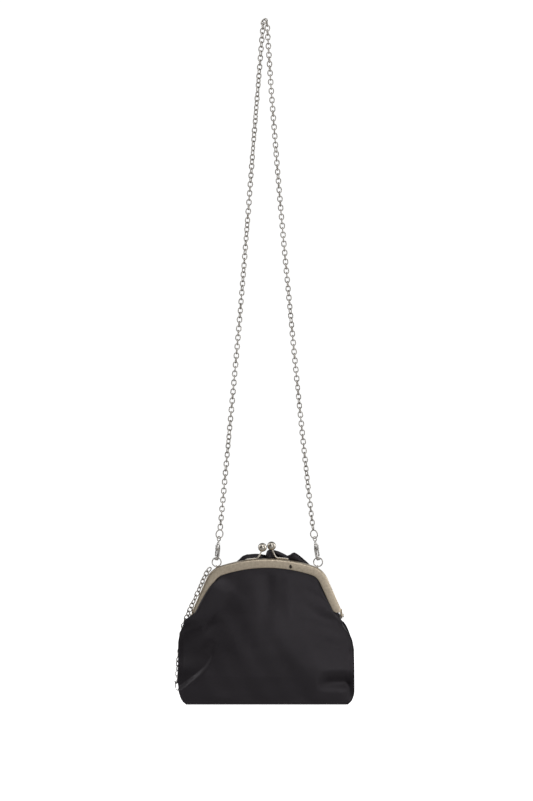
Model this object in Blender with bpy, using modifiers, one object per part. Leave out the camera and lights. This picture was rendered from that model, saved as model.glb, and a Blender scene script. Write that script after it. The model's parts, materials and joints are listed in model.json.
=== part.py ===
"""Evening bag: a satin pouch on a kiss-lock frame, hung from a chain strap.

Metres, +Z up. The origin is the top of the strap, where a hook or a hand holds it, and the
bag hangs below. +X runs along the frame and +Y points out of the bag's front, where the bow is.

Run with: blender --background --python part.py
"""

import math

import bmesh
import bpy
from mathutils import Matrix, Vector

MM = 0.001

# Frame: two arched channels, hinged at their feet
FRAME_MIDDLE_X = 2.2 * MM  # the bag hangs a little to one side of the strap's top
FRAME_TOP_Z = -596.3 * MM
ARCH_RADIUS = 165 * MM  # long top curve, to the outer edge
CORNER_RADIUS = 25 * MM
CORNER_START = math.radians(18.2)  # where the top curve turns into the corner
LEG_SPLAY = math.radians(24)  # legs from the vertical
LEG_FOOT_Z = -58.3 * MM  # below the frame's top
FOOT_SPARE = 5 * MM  # the channel is bent longer, then cut off level
BAND_WIDTH = 9.5 * MM
BAND_INNER_WIDTH = 8 * MM
BAND_DEPTH = 6.55 * MM
SHEET_METAL = 1 * MM
HALF_GAP = 0.25 * MM  # each channel from the parting plane

# Frame hinge
HINGE_BELOW_TOP = 62.4 * MM
EAR_X = 81 * MM
EAR_RADIUS = 3.6 * MM
EAR_THICKNESS = 1 * MM
RIVET_RADIUS = 1.3 * MM
RIVET_HEAD_RADIUS = 2.4 * MM
GAP = 0.3 * MM  # between pieces that touch on the real bag

# Kiss lock
BALL_RADIUS = 4.85 * MM
STUD_WIRE_RADIUS = 0.85 * MM

# Rings and their lugs on the frame
LUG_X = 55.7 * MM
LUG_Y = -3.5 * MM
RING_RADIUS = 5.05 * MM  # to the middle of the wire
RING_WIRE_RADIUS = 0.6 * MM
RING_SHIFT = 0.4 * MM  # both rings lie a little to the +X side of their lugs
RING_MIDDLE_Z = -3.4 * MM  # below the frame's top

# Lobster clasps: lengths above the wire that the claw holds
CLASP_THICKNESS = 3.2 * MM
CLAW_HALF_WIDTH = 4.25 * MM
CLAW_HALF_LENGTH = 9.1 * MM
CLAW_MIDDLE = 6.05 * MM
HOLE_HALF_WIDTH = 2.6 * MM
HOLE_HALF_LENGTH = 5.9 * MM
HOLE_MIDDLE = 3.95 * MM
GATE_PIVOT = (3 * MM, 10.3 * MM)
GATE_THICKNESS = 1.5 * MM
EYE_MIDDLE = 20.9 * MM
JUMP_RING_MIDDLE = 26 * MM
JUMP_RING_RADIUS = 4.55 * MM
STRAP_END = 31.5 * MM
LEFT_CLASP_TILT = math.radians(7)  # each leans in along its strand
RIGHT_CLASP_TILT = math.radians(-10)
CLASP_TURN = math.radians(22)  # claw's plane from square across the bag
SHORT_CLASP_SCALE = 0.65
SHORT_CLASP_AT = (-98.9 * MM, 7.5 * MM, -144.3 * MM)  # from the frame's top middle

# Chains, as plain tubes round their links
CHAIN_RADIUS = 3.1 * MM
STRAP_SPACING = 18 * MM  # between the tubes' points
SHORT_CHAIN_SPACING = 9 * MM

# Pouch, from the frame's top
POUCH_FLOOR_Z = -155.7 * MM
POUCH_HALF_DEPTH = 26 * MM
POUCH_FLOOR_HALF_DEPTH = 23.5 * MM
POUCH_TOP_HALF_WIDTH = 78.5 * MM
POUCH_SIDE = (  # height below the frame's top, half width
    (-58.3 * MM, 78.5 * MM),
    (-63.7 * MM, 82 * MM),
    (-71.7 * MM, 88 * MM),
    (-80.7 * MM, 92.5 * MM),
    (-100.7 * MM, 96 * MM),
    (-138 * MM, 96 * MM),
    (-149 * MM, 93 * MM),
    (-155.7 * MM, 86 * MM),
)
SWELL_HEIGHT = 95 * MM  # how far below the frame the pouch reaches its full depth
GUSSET_FOLD = 7 * MM  # how far the side walls fold in
CLOTH = 1 * MM
LINING_CLOTH = 0.8 * MM
CHANNEL_CLOTH_Y = 4.6 * MM
CHANNEL_LINING_Y = 2.4 * MM
FRONT_SEAM_Z = -60 * MM  # the front's upper part turns with the front frame
SEAM_GAP = 2 * MM
GUSSET_TOP_Z = -70 * MM
FOOT_CLEAR_X = 58 * MM  # from here out the front's lower part drops clear of the frame's foot
LINING_INSET = 2.6 * MM  # lining to outer cloth
LINING_NARROWER = 6.5 * MM

# Bow
BOW_MIDDLE = (3 * MM, 8 * MM, 0)
BOW_LEAN = math.radians(11)

FRAME_ORIGIN = Vector((FRAME_MIDDLE_X, 0, FRAME_TOP_Z))


def start():
    """Clear the scene and make the two collections."""
    for old in list(bpy.data.objects):
        bpy.data.objects.remove(old, do_unlink=True)
    made = []
    for name in ("evening_bag", "cutters"):
        group = bpy.data.collections.new(name)
        bpy.context.scene.collection.children.link(group)
        made.append(group)
    return made


PARTS, CUTTERS = start()


def material(name, colour, metallic, roughness):
    made = bpy.data.materials.new(name)
    made.use_nodes = True
    shader = made.node_tree.nodes["Principled BSDF"]
    shader.inputs["Base Color"].default_value = (*colour, 1)
    shader.inputs["Metallic"].default_value = metallic
    shader.inputs["Roughness"].default_value = roughness
    made.diffuse_color = (*colour, 1)
    return made


NICKEL = material("brushed_nickel", (0.42, 0.37, 0.30), 1, 0.35)
SILVER = material("bright_nickel", (0.70, 0.68, 0.65), 1, 0.15)
SATIN = material("black_satin", (0.022, 0.021, 0.023), 0, 0.45)
LINING = material("black_lining", (0.03, 0.03, 0.032), 0, 0.6)
PAPER = material("paper_cord", (0.55, 0.47, 0.36), 0, 0.9)
BOARD = material("grey_board", (0.35, 0.34, 0.32), 0, 0.9)


def pivot(name, place, parent=None, rotation=(0, 0, 0)):
    """An empty on a joint's axis. Its place is in its parent's frame."""
    empty = bpy.data.objects.new(name, None)
    empty.location = place
    empty.rotation_euler = rotation
    empty.parent = parent
    PARTS.objects.link(empty)
    return empty


def keep(piece, name, finish, parent=None, place=(0, 0, 0)):
    """Give a finished shape its name, material and parent."""
    piece.name = name
    piece.data.name = name
    piece.data.materials.clear()
    piece.data.materials.append(finish)
    piece.parent = parent
    piece.location = place
    return piece


def new_object(data, group=None):
    made = bpy.data.objects.new(data.name, data)
    (group or PARTS).objects.link(made)
    return made


def tube(points, radius, closed=False):
    """A round wire through the points, as a curve with filled ends."""
    curve = bpy.data.curves.new("tube", "CURVE")
    curve.dimensions = "3D"
    curve.bevel_depth = radius
    curve.bevel_resolution = 2
    curve.use_fill_caps = True
    line = curve.splines.new("POLY")
    line.points.add(len(points) - 1)
    for point, place in zip(line.points, points):
        point.co = (*place, 1)
    line.use_cyclic_u = closed
    return new_object(curve)


def plate(outlines, thickness, turn=(0, 0, 0)):
    """A flat plate: the first outline is its edge and the rest are holes."""
    curve = bpy.data.curves.new("plate", "CURVE")
    curve.dimensions = "2D"
    curve.fill_mode = "BOTH"
    curve.extrude = thickness / 2
    for outline in outlines:
        line = curve.splines.new("POLY")
        line.points.add(len(outline) - 1)
        for point, (across, along) in zip(line.points, outline):
            point.co = (across, along, 0, 1)
        line.use_cyclic_u = True
    made = new_object(curve)
    made.rotation_euler = turn
    return as_mesh(made)


def as_mesh(piece):
    """Turn a curve into a welded mesh, with its rotation and place in the mesh."""
    bpy.context.view_layer.update()
    seen = piece.evaluated_get(bpy.context.evaluated_depsgraph_get())
    mesh = bpy.data.meshes.new_from_object(seen)
    mesh.transform(piece.matrix_world)
    shape = bmesh.new()
    shape.from_mesh(mesh)
    bmesh.ops.remove_doubles(shape, verts=shape.verts, dist=0.00001)
    bmesh.ops.recalc_face_normals(shape, faces=shape.faces)
    shape.to_mesh(mesh)
    shape.free()
    made = new_object(mesh)
    bpy.data.objects.remove(piece, do_unlink=True)
    return made


def primitive(make, place=(0, 0, 0), turn=(0, 0, 0), **sizes):
    """A bmesh primitive as an object, with its place in the mesh."""
    shape = bmesh.new()
    make(shape, **sizes)
    spot = Matrix.Translation(place) @ Matrix.Rotation(turn[2], 4, "Z")
    spot = spot @ Matrix.Rotation(turn[1], 4, "Y") @ Matrix.Rotation(turn[0], 4, "X")
    shape.transform(spot)
    mesh = bpy.data.meshes.new("primitive")
    shape.to_mesh(mesh)
    shape.free()
    return new_object(mesh)


def rod(radius, length, place, turn=(0, 0, 0), sides=16):
    return primitive(
        bmesh.ops.create_cone, place, turn, cap_ends=True, segments=sides,
        radius1=radius, radius2=radius, depth=length,
    )


def box(size, place):
    made = primitive(bmesh.ops.create_cube, (0, 0, 0), size=1)
    made.data.transform(Matrix.Translation(place) @ Matrix.Diagonal((*size, 1)))
    return made


def torus(radius, wire, around=20, sides=6, stretch=1):
    """A ring in its XZ plane, longer along Z by the stretch."""
    turns = [2 * math.pi * n / around for n in range(around)]
    ring = [(radius * math.cos(t), 0, radius * stretch * math.sin(t)) for t in turns]
    made = tube(ring, wire, closed=True)
    made.data.bevel_resolution = (sides - 4) // 2
    return as_mesh(made)


def combine(base, other, operation):
    """Boolean of two meshes. The second becomes a hidden cutter."""
    for group in list(other.users_collection):
        group.objects.unlink(other)
    CUTTERS.objects.link(other)
    other.name = "cutter"
    other.hide_render = True
    other.display_type = "WIRE"
    modifier = base.modifiers.new(operation.lower(), "BOOLEAN")
    modifier.operation = operation
    modifier.solver = "EXACT"
    modifier.object = other
    return base


def baked(piece):
    """The evaluated mesh as a plain object, for a shape that is copied or cut again."""
    bpy.context.view_layer.update()
    seen = piece.evaluated_get(bpy.context.evaluated_depsgraph_get())
    made = new_object(bpy.data.meshes.new_from_object(seen))
    bpy.data.objects.remove(piece, do_unlink=True)
    return made


def joined(base, others, operation="UNION"):
    """Apply the booleans and remove the cutters, leaving one plain mesh."""
    for other in others:
        combine(base, other, operation)
    made = baked(base)
    for other in others:
        bpy.data.objects.remove(other, do_unlink=True)
    return made


def sheet(rows, thickness):
    """A cloth sheet through rows of points, thickened evenly about them."""
    shape = bmesh.new()
    grid = [[shape.verts.new(point) for point in row] for row in rows]
    for upper, lower in zip(grid, grid[1:]):
        for n in range(len(upper) - 1):
            shape.faces.new((upper[n], upper[n + 1], lower[n + 1], lower[n]))
    bmesh.ops.recalc_face_normals(shape, faces=shape.faces)
    mesh = bpy.data.meshes.new("sheet")
    shape.to_mesh(mesh)
    shape.free()
    made = new_object(mesh)
    solid = made.modifiers.new("thickness", "SOLIDIFY")
    solid.thickness = thickness
    solid.offset = 0
    mesh.shade_smooth()
    return made


def smooth_route(knots, spacing):
    """Points along a smooth curve through the knots, at least one in each stretch."""
    lengths = [(b - a).length for a, b in zip(knots, knots[1:])]
    slopes = [(knots[1] - knots[0]) / lengths[0]]
    for n in range(1, len(knots) - 1):
        slopes.append((knots[n + 1] - knots[n - 1]) / (lengths[n - 1] + lengths[n]))
    slopes.append((knots[-1] - knots[-2]) / lengths[-1])
    route = []
    for n, length in enumerate(lengths):
        steps = max(1, round(length / spacing))
        for step in range(steps):
            t = step / steps
            route.append(
                (2 * t ** 3 - 3 * t ** 2 + 1) * knots[n] + (3 * t ** 2 - 2 * t ** 3) * knots[n + 1]
                + length * ((t ** 3 - 2 * t ** 2 + t) * slopes[n] + (t ** 3 - t ** 2) * slopes[n + 1])
            )
    return [*route, knots[-1]]


# ---------------------------------------------------------------- frame


def corner_middle():
    """Middle of the right corner's arc, from the frame's top middle."""
    inner = ARCH_RADIUS - CORNER_RADIUS
    across = inner * math.sin(CORNER_START)
    down = inner * math.cos(CORNER_START) - ARCH_RADIUS
    return across, down


def arch_half(inset, steps_top=6, steps_corner=6, foot_z=LEG_FOOT_Z):
    """Right half of the arch from its top to its foot, inset from the outer edge."""
    side_x, side_z = corner_middle()
    end = math.pi / 2 - LEG_SPLAY
    line = []
    for n in range(steps_top):
        angle = CORNER_START * n / steps_top
        reach = ARCH_RADIUS - inset
        line.append((reach * math.sin(angle), reach * math.cos(angle) - ARCH_RADIUS))
    for n in range(steps_corner + 1):
        angle = CORNER_START + (end - CORNER_START) * n / steps_corner
        reach = CORNER_RADIUS - inset
        line.append((side_x + reach * math.sin(angle), side_z + reach * math.cos(angle)))
    last_x, last_z = line[-1]
    line.append((last_x + (last_z - foot_z) * math.tan(LEG_SPLAY), foot_z))
    return line


def arch(inset, steps_top=6, steps_corner=6, foot_z=LEG_FOOT_Z):
    """The whole arch from the left foot to the right foot."""
    right = arch_half(inset, steps_top, steps_corner, foot_z)
    return [(-x, z) for x, z in reversed(right[1:])] + right


def arch_height(across, inset):
    """Height of the inset arch above a distance from the middle."""
    line = arch_half(inset, 12, 12)
    across = abs(across)
    for (x0, z0), (x1, z1) in zip(line, line[1:]):
        if across <= x1:
            return z0 + (z1 - z0) * (across - x0) / (x1 - x0)
    return LEG_FOOT_Z


def arch_inset(across, height):
    """How far a point lies inside the arch's outer edge."""
    across = abs(across)
    side_x, side_z = corner_middle()
    out_x, out_z = across - side_x, height - side_z
    if CORNER_START < math.atan2(out_x, out_z) < math.pi / 2 - LEG_SPLAY:
        return CORNER_RADIUS - math.hypot(out_x, out_z)
    from_top = ARCH_RADIUS - math.hypot(across, height + ARCH_RADIUS)
    from_leg = CORNER_RADIUS - out_x * math.cos(LEG_SPLAY) - out_z * math.sin(LEG_SPLAY)
    return min(from_top, from_leg)


def channel_profile(side):
    """Section of a frame half: inset from the outer edge, and distance to its side."""
    outer = HALF_GAP + BAND_DEPTH
    profile = [
        (0, HALF_GAP),
        (0, outer - 1.5 * MM),
        (0.45 * MM, outer - 0.45 * MM),
        (1.5 * MM, outer),
        (BAND_WIDTH, outer),
        (BAND_WIDTH, outer - SHEET_METAL),
        (SHEET_METAL, outer - SHEET_METAL),
        (SHEET_METAL, HALF_GAP + SHEET_METAL),
        (BAND_INNER_WIDTH, HALF_GAP + SHEET_METAL),
        (BAND_INNER_WIDTH, HALF_GAP),
    ]
    return [(inset, -side * depth) for inset, depth in profile]


def swept_channel(side):
    """The channel bent along the arch, as a curve with the section as its bevel."""
    section = bpy.data.curves.new("section", "CURVE")
    section.dimensions = "2D"
    edge = section.splines.new("POLY")
    profile = channel_profile(side)
    edge.points.add(len(profile) - 1)
    for point, (inset, depth) in zip(edge.points, profile):
        point.co = (inset, depth, 0, 1)
    edge.use_cyclic_u = True
    guide = new_object(section, CUTTERS)
    guide.hide_render = True

    path = bpy.data.curves.new("arch", "CURVE")
    path.dimensions = "3D"
    path.twist_mode = "Z_UP"
    path.bevel_mode = "OBJECT"
    path.bevel_object = guide
    path.use_fill_caps = True
    line = path.splines.new("POLY")
    points = arch(0, foot_z=LEG_FOOT_Z - FOOT_SPARE)
    line.points.add(len(points) - 1)
    for point, (x, z) in zip(line.points, points):
        point.co = (x, z, 0, 1)
    swept = new_object(path)
    swept.rotation_euler = (math.pi / 2, 0, 0)
    made = as_mesh(swept)
    bpy.data.objects.remove(guide, do_unlink=True)
    spare = box((0.3, 0.1, 4 * FOOT_SPARE), (0, 0, LEG_FOOT_Z - 2 * FOOT_SPARE))
    return joined(made, [spare], "DIFFERENCE")


def ear_outline(side):
    """Hinge ear: a disc round the rivet with a strap up into the channel's foot."""
    hinge = -HINGE_BELOW_TOP
    outer = HALF_GAP + BAND_DEPTH - 0.3 * MM
    top = LEG_FOOT_Z + 2.5 * MM
    line = [(side * outer, LEG_FOOT_Z + 0.2 * MM), (side * outer, top), (side * 1 * MM, top)]
    for n in range(11):
        angle = math.radians(98 - 248 * n / 10)
        line.append((
            -side * EAR_RADIUS * math.cos(angle), hinge + EAR_RADIUS * math.sin(angle)
        ))
    return line


def circle(radius, middle, steps=12):
    turns = [2 * math.pi * n / steps for n in range(steps)]
    return [(middle[0] + radius * math.cos(t), middle[1] + radius * math.sin(t)) for t in turns]


def frame_half(name, side, ear_x, parent, place):
    """One channel with its two hinge ears."""
    ears = []
    for end in (-1, 1):
        hole = circle(RIVET_RADIUS + 0.2 * MM, (0, -HINGE_BELOW_TOP))
        ear = plate([ear_outline(side), hole], EAR_THICKNESS, (math.pi / 2, 0, math.pi / 2))
        ear.data.transform(Matrix.Translation((end * ear_x, 0, 0)))
        ears.append(ear)
    made = joined(swept_channel(side), ears)
    return keep(made, name, NICKEL, parent, place)


def rivet(name, end, parent, place):
    """Hinge rivet, turned: shank between two low domed heads."""
    inner = EAR_X - EAR_THICKNESS / 2 - GAP
    outer = EAR_X + 1.5 * EAR_THICKNESS + 2 * GAP
    half = (outer - inner) / 2
    profile = [
        (0, half + 1 * MM),
        (RIVET_HEAD_RADIUS * 0.7, half + 0.8 * MM),
        (RIVET_HEAD_RADIUS, half),
        (RIVET_RADIUS, half),
        (RIVET_RADIUS, -half),
        (RIVET_HEAD_RADIUS, -half),
        (RIVET_HEAD_RADIUS * 0.7, -half - 0.6 * MM),
        (0, -half - 0.7 * MM),
    ]
    mesh = bpy.data.meshes.new(name)
    edges = [(n, n + 1) for n in range(len(profile) - 1)]
    mesh.from_pydata([(r, 0, z) for r, z in profile], edges, [])
    made = new_object(mesh)
    screw = made.modifiers.new("turn", "SCREW")
    screw.steps = 14
    screw.render_steps = 14
    screw.use_merge_vertices = True
    screw.merge_threshold = 0.00002
    middle = Vector((end * (inner + outer) / 2, 0, -HINGE_BELOW_TOP))
    keep(made, name, SILVER, parent, Vector(place) + middle)
    made.rotation_euler = (0, end * math.pi / 2, 0)
    return made


def channel_cord(name, side, parent, place):
    """Paper cord that wedges the cloth in the channel."""
    points = [(x, side * 3.5 * MM, z) for x, z in arch(2.4 * MM, 4, 4)]
    points[0] = Vector(points[0]).lerp(Vector(points[1]), 0.05)
    points[-1] = Vector(points[-1]).lerp(Vector(points[-2]), 0.05)
    return keep(tube(points, 1.1 * MM), name, PAPER, parent, place)


def lock_stud(name, side, lean, parent, place):
    """Half of the kiss lock: a bent wire along the frame's top with a ball on its end."""
    depth = side * 3.4 * MM
    lift = STUD_WIRE_RADIUS + GAP
    foot, far = 9.6 * MM, 22.8 * MM
    flat = [far, (far + foot) / 2, foot + 1 * MM]
    points = [(lean * x, depth, arch_height(x, 0) + lift) for x in flat]
    ball = Vector((lean * 5 * MM, side * 2 * MM, (13.4 + 0.6 * side) * MM))
    foot_point = Vector((lean * foot, depth, 2 * MM))
    points += [foot_point, foot_point.lerp(ball, 0.45), foot_point.lerp(ball, 0.95)]
    wire = as_mesh(tube(points, STUD_WIRE_RADIUS))
    head = primitive(
        bmesh.ops.create_uvsphere, ball, u_segments=18, v_segments=10, radius=BALL_RADIUS
    )
    made = joined(head, [wire])
    made.data.shade_smooth()
    return keep(made, name, SILVER, parent, place)


def ring_lug(name, end, parent, place):
    """Staple over a ring's wire, standing on the rear half's top edge."""
    middle_z = RING_MIDDLE_Z - RING_RADIUS
    reach = RING_WIRE_RADIUS + GAP + 0.55 * MM
    turns = [math.radians(-10 + 200 * n / 8) for n in range(9)]
    hoop = [(end * LUG_X, LUG_Y + reach * math.cos(t), middle_z + reach * math.sin(t))
            for t in turns]
    foot_z = arch_height(LUG_X, 0) + GAP
    hoop.insert(0, (end * LUG_X, LUG_Y + reach, foot_z))
    hoop.append((end * LUG_X, LUG_Y - reach, foot_z))
    return keep(tube(hoop, 0.55 * MM), name, SILVER, parent, place)


def frame_ring(name, end):
    middle = Vector((end * LUG_X + RING_SHIFT, LUG_Y, RING_MIDDLE_Z)) + FRAME_ORIGIN
    return keep(torus(RING_RADIUS, RING_WIRE_RADIUS, 24), name, SILVER, None, middle)


# ---------------------------------------------------------------- clasps


def claw_outline(scale):
    """C-shaped claw seen flat: closed round the bottom, open on the gate's side."""
    line = []
    outer_from, outer_to = math.radians(-42), math.radians(-330)
    for n in range(21):
        angle = outer_from + (outer_to - outer_from) * n / 20
        line.append((CLAW_HALF_WIDTH * math.cos(angle),
                     CLAW_MIDDLE + CLAW_HALF_LENGTH * math.sin(angle)))
    inner_from, inner_to = math.radians(-318), math.radians(-50)
    for n in range(15):
        angle = inner_from + (inner_to - inner_from) * n / 14
        line.append((HOLE_HALF_WIDTH * math.cos(angle),
                     HOLE_MIDDLE + HOLE_HALF_LENGTH * math.sin(angle)))
    return [(across * scale, along * scale) for across, along in line]


def gate_outline(scale):
    """Lever from the hook's tip up round its pin, with a thumb tail."""
    across, along = GATE_PIVOT
    line = [
        (2.75 * MM, 1.6 * MM), (3.85 * MM, 1.6 * MM), (4.5 * MM, 6 * MM), (4.45 * MM, 9.6 * MM),
        (5.6 * MM, 13.6 * MM), (5 * MM, 14.2 * MM), (4 * MM, 12.6 * MM), (3 * MM, 11.6 * MM),
        (1.9 * MM, 10.9 * MM), (1.9 * MM, 9.7 * MM), (2.95 * MM, 8.8 * MM), (3.2 * MM, 5.6 * MM),
    ]
    line = [(x - across, z - along) for x, z in line]
    return [(x * scale, z * scale) for x, z in line]


FLAT_TO_CLASP = (math.pi / 2, 0, math.pi / 2)  # outline's plane to the clasp's YZ plane


def clasp_body(name, hub, scale):
    claw = plate([claw_outline(scale)], CLASP_THICKNESS * scale, FLAT_TO_CLASP)
    across, along = GATE_PIVOT[0] * scale, GATE_PIVOT[1] * scale
    slot_size = Vector((GATE_THICKNESS + 2 * GAP, 6 * MM, 7.6 * MM)) * scale
    slot = box(slot_size, Vector((0, across + 1.1 * MM * scale, along - 1.4 * MM * scale)))
    reach = 6 * MM * scale
    hole = rod(0.62 * MM * scale, reach, (0, across, along), (0, math.pi / 2, 0), 10)
    socket = rod(1 * MM * scale, 4 * MM * scale, (0, 0, 15 * MM * scale), sides=10)
    made = joined(claw, [slot, hole, socket], "DIFFERENCE")
    return keep(made, name, SILVER, hub)


def clasp_gate(name, hinge, scale):
    gate = plate([gate_outline(scale)], GATE_THICKNESS * scale, FLAT_TO_CLASP)
    hole = rod(0.62 * MM * scale, 6 * MM * scale, (0, 0, 0), (0, math.pi / 2, 0), 10)
    return keep(joined(gate, [hole], "DIFFERENCE"), name, SILVER, hinge)


def gate_pin(name, hub, scale):
    place = (0, GATE_PIVOT[0] * scale, GATE_PIVOT[1] * scale)
    made = rod(0.42 * MM * scale, CLASP_THICKNESS * scale, (0, 0, 0), (0, math.pi / 2, 0), 8)
    return keep(made, name, SILVER, hub, place)


def swivel_eye(name, hub, scale, turn):
    """Oval eye on a stem that turns in the clasp's socket."""
    eye = torus(1.75 * MM * scale, 0.55 * MM * scale, 16, 6, stretch=1.43)
    eye.data.transform(Matrix.Translation((0, 0, EYE_MIDDLE * scale)))
    stem_low, stem_top = 13.4 * MM * scale, 18.4 * MM * scale
    stem = rod(0.7 * MM * scale, stem_top - stem_low, (0, 0, (stem_low + stem_top) / 2), sides=10)
    made = keep(joined(eye, [stem]), name, SILVER, hub)
    made.rotation_euler = (0, 0, turn)
    return made


def jump_ring(name, hub, scale, turn):
    made = torus(JUMP_RING_RADIUS * scale, RING_WIRE_RADIUS * scale)
    keep(made, name, SILVER, hub, (0, 0, JUMP_RING_MIDDLE * scale))
    made.rotation_euler = (0, 0, turn)
    return made


def clasp(side, place, tilt, turn, scale=1.0, parent=None):
    """A swivelling lobster clasp. Its hub's Z axis is the line that it hangs along."""
    hub = pivot(f"{side}_clasp_hub", place, parent, (0, tilt, 0))
    swivel = pivot(f"{side}_clasp_swivel_axis", (0, 0, 0), hub, (0, 0, turn))
    gate_place = (0, GATE_PIVOT[0] * scale, GATE_PIVOT[1] * scale)
    hinge = pivot(f"{side}_clasp_gate_axis", gate_place, swivel)
    clasp_body(f"{side}_clasp_body", swivel, scale)
    clasp_gate(f"{side}_clasp_gate", hinge, scale)
    gate_pin(f"{side}_clasp_gate_pin", swivel, scale)
    lean = math.copysign(1, tilt) if tilt else 1
    swivel_eye(f"{side}_clasp_swivel_eye", hub, scale, -lean * math.radians(12))
    jump_ring(f"{side}_clasp_jump_ring", hub, scale, lean * math.radians(36))
    return hub


def ring_top(end):
    middle = Vector((end * LUG_X + RING_SHIFT, LUG_Y, RING_MIDDLE_Z + RING_RADIUS))
    return middle + FRAME_ORIGIN


# ---------------------------------------------------------------- chains


def strap_route():
    """Middle of the strap from the left clasp, over the top, to the right clasp."""
    ends = []
    for end, tilt in ((-1, LEFT_CLASP_TILT), (1, RIGHT_CLASP_TILT)):
        line = Vector((math.sin(tilt), 0, math.cos(tilt)))
        ends.append(ring_top(end) + STRAP_END * line)
    middle = [
        (-45.1, -3.2, -520), (-36.1, -2.6, -424), (-27.2, -2.3, -325), (-19.1, -2.3, -224),
        (-12.4, -2.3, -136), (-7, -2.5, -70), (-4.1, -2.6, -34), (-2.4, -2.6, -13),
        (-2.1, -2.3, -6.8), (0, 0, -3.1), (2.1, 2.3, -6.8), (2.6, 2.6, -13),
        (3.9, 2.6, -34), (6.2, 2.2, -70), (11.2, 2, -136), (18.5, 1, -224),
        (27.9, -0.5, -325), (37.5, -2, -424), (47.7, -3, -520),
    ]
    knots = [Vector(point) * MM for point in middle]
    return [ends[0], *knots, ends[1]]


def short_chain_route():
    """Middle of the short chain from the left ring, round the frame's side, to its clasp."""
    knots = [
        (-62.6, -3.5, -9.8), (-66.2, -3.6, -13.6), (-69.9, -3.6, -19.6), (-73, -3.4, -26.6),
        (-76.6, -3, -34.6), (-80.6, -2.4, -43.6), (-85, -1.4, -53.6), (-89.2, 0.4, -63.6),
        (-92.9, 2.4, -72.6), (-96.4, 4.4, -82.6), (-98.8, 6.4, -94.6), (-99.6, 7.4, -108),
    ]
    route = [Vector(point) * MM for point in knots]
    end = Vector(SHORT_CLASP_AT)
    route.append(end + Vector((0, 0, STRAP_END * SHORT_CLASP_SCALE)))
    return route


# ---------------------------------------------------------------- pouch


def half_width(height):
    """Half the pouch's width at a height below the frame's top."""
    if height >= POUCH_SIDE[0][0]:
        return POUCH_TOP_HALF_WIDTH
    for (high, wide), (low, next_wide) in zip(POUCH_SIDE, POUCH_SIDE[1:]):
        if height >= low:
            share = (high - height) / (high - low)
            return wide + (next_wide - wide) * share
    return POUCH_SIDE[-1][1]


def panel_depth(across, height, inset, channel_y):
    """Distance of a panel from the middle plane: out of the channel, then swelling."""
    level = max(height, LEG_FOOT_Z)
    below = max(arch_inset(across, level) - BAND_WIDTH - 0.5 * MM, 0) + level - height
    share = min(below / SWELL_HEIGHT, 1)
    swell = (share + (1 - math.cos(math.pi * share)) / 2) / 2
    full = POUCH_HALF_DEPTH - inset
    near_floor = max(0, 1 - (height - POUCH_FLOOR_Z) / (30 * MM))
    full -= (POUCH_HALF_DEPTH - POUCH_FLOOR_HALF_DEPTH) * near_floor
    return channel_y + (full - channel_y) * swell


def panel(side, top, bottom, columns, rows, inset=0.0, narrower=0.0,
          channel_y=CHANNEL_CLOTH_Y, thickness=CLOTH):
    """A front or rear panel between two heights, each a function of the column."""
    lines = []
    for row in range(rows + 1):
        line = []
        for column in range(columns + 1):
            share = math.sin((2 * column / columns - 1) * math.pi / 2)
            foot_x = share * (POUCH_TOP_HALF_WIDTH - narrower)
            high, low = top(foot_x), bottom(foot_x)
            height = high + (low - high) * row / rows
            across = share * (half_width(height) - narrower)
            depth = panel_depth(foot_x, height, inset, channel_y)
            line.append((across, side * depth, height))
        lines.append(line)
    return sheet(lines, thickness)


def gusset(end, top, inset, thickness):
    """Side wall between the panels, folded in along its middle."""
    rows, columns = 8, 6
    bottom = POUCH_FLOOR_Z + 0.6 * MM + inset
    lines = []
    for row in range(rows + 1):
        height = top + (bottom - top) * row / rows
        edge = panel_depth(POUCH_TOP_HALF_WIDTH, height, 0, CHANNEL_CLOTH_Y) - 1.3 * MM
        down = (LEG_FOOT_Z - height) / (LEG_FOOT_Z - POUCH_FLOOR_Z)
        fold = GUSSET_FOLD * math.sin(math.pi * down) + 1 * MM
        line = []
        for column in range(columns + 1):
            depth = (2 * column / columns - 1) * (edge - inset)
            folded_in = fold * (1 - (depth / edge) ** 2)
            line.append((end * (half_width(height) - 1.2 * MM - inset - folded_in), depth, height))
        lines.append(line)
    return sheet(lines, thickness)


def floor_plate(half_x, half_y, height, thickness):
    made = box((2 * half_x, 2 * half_y, thickness), (0, 0, height))
    edge = made.modifiers.new("round_corners", "BEVEL")
    edge.limit_method = "ANGLE"
    edge.width = thickness * 0.3
    edge.segments = 1
    return made


# ---------------------------------------------------------------- bow


def pillow(corners, finish_name, parent):
    """A soft closed form in a cage of eight corners, low Z face first."""
    made = primitive(bmesh.ops.create_cube, size=2)
    for corner in made.data.vertices:
        x, y, z = (1 if value > 0 else 0 for value in corner.co)
        corner.co = Vector(corners[x][z][y]) * MM
    soft = made.modifiers.new("soft", "SUBSURF")
    soft.levels = 2
    soft.render_levels = 2
    made.data.shade_smooth()
    return keep(made, finish_name, SATIN, parent)


def bow_loop(name, parent, inner_x, outer_x, inner_z, outer_z):
    """One loop: narrow at the knot and full at its outer end. Corners as [x][z][y]."""
    ends = {
        inner_x: [[(inner_x, 4, inner_z[0]), (inner_x, 9, inner_z[0])],
                  [(inner_x, 4, inner_z[1]), (inner_x, 9, inner_z[1])]],
        outer_x: [[(outer_x, 0.8, outer_z[0]), (outer_x, 16, outer_z[0])],
                  [(outer_x, 0.8, outer_z[1]), (outer_x, 16, outer_z[1])]],
    }
    low, high = sorted(ends)
    return pillow([ends[low], ends[high]], name, parent)


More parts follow.
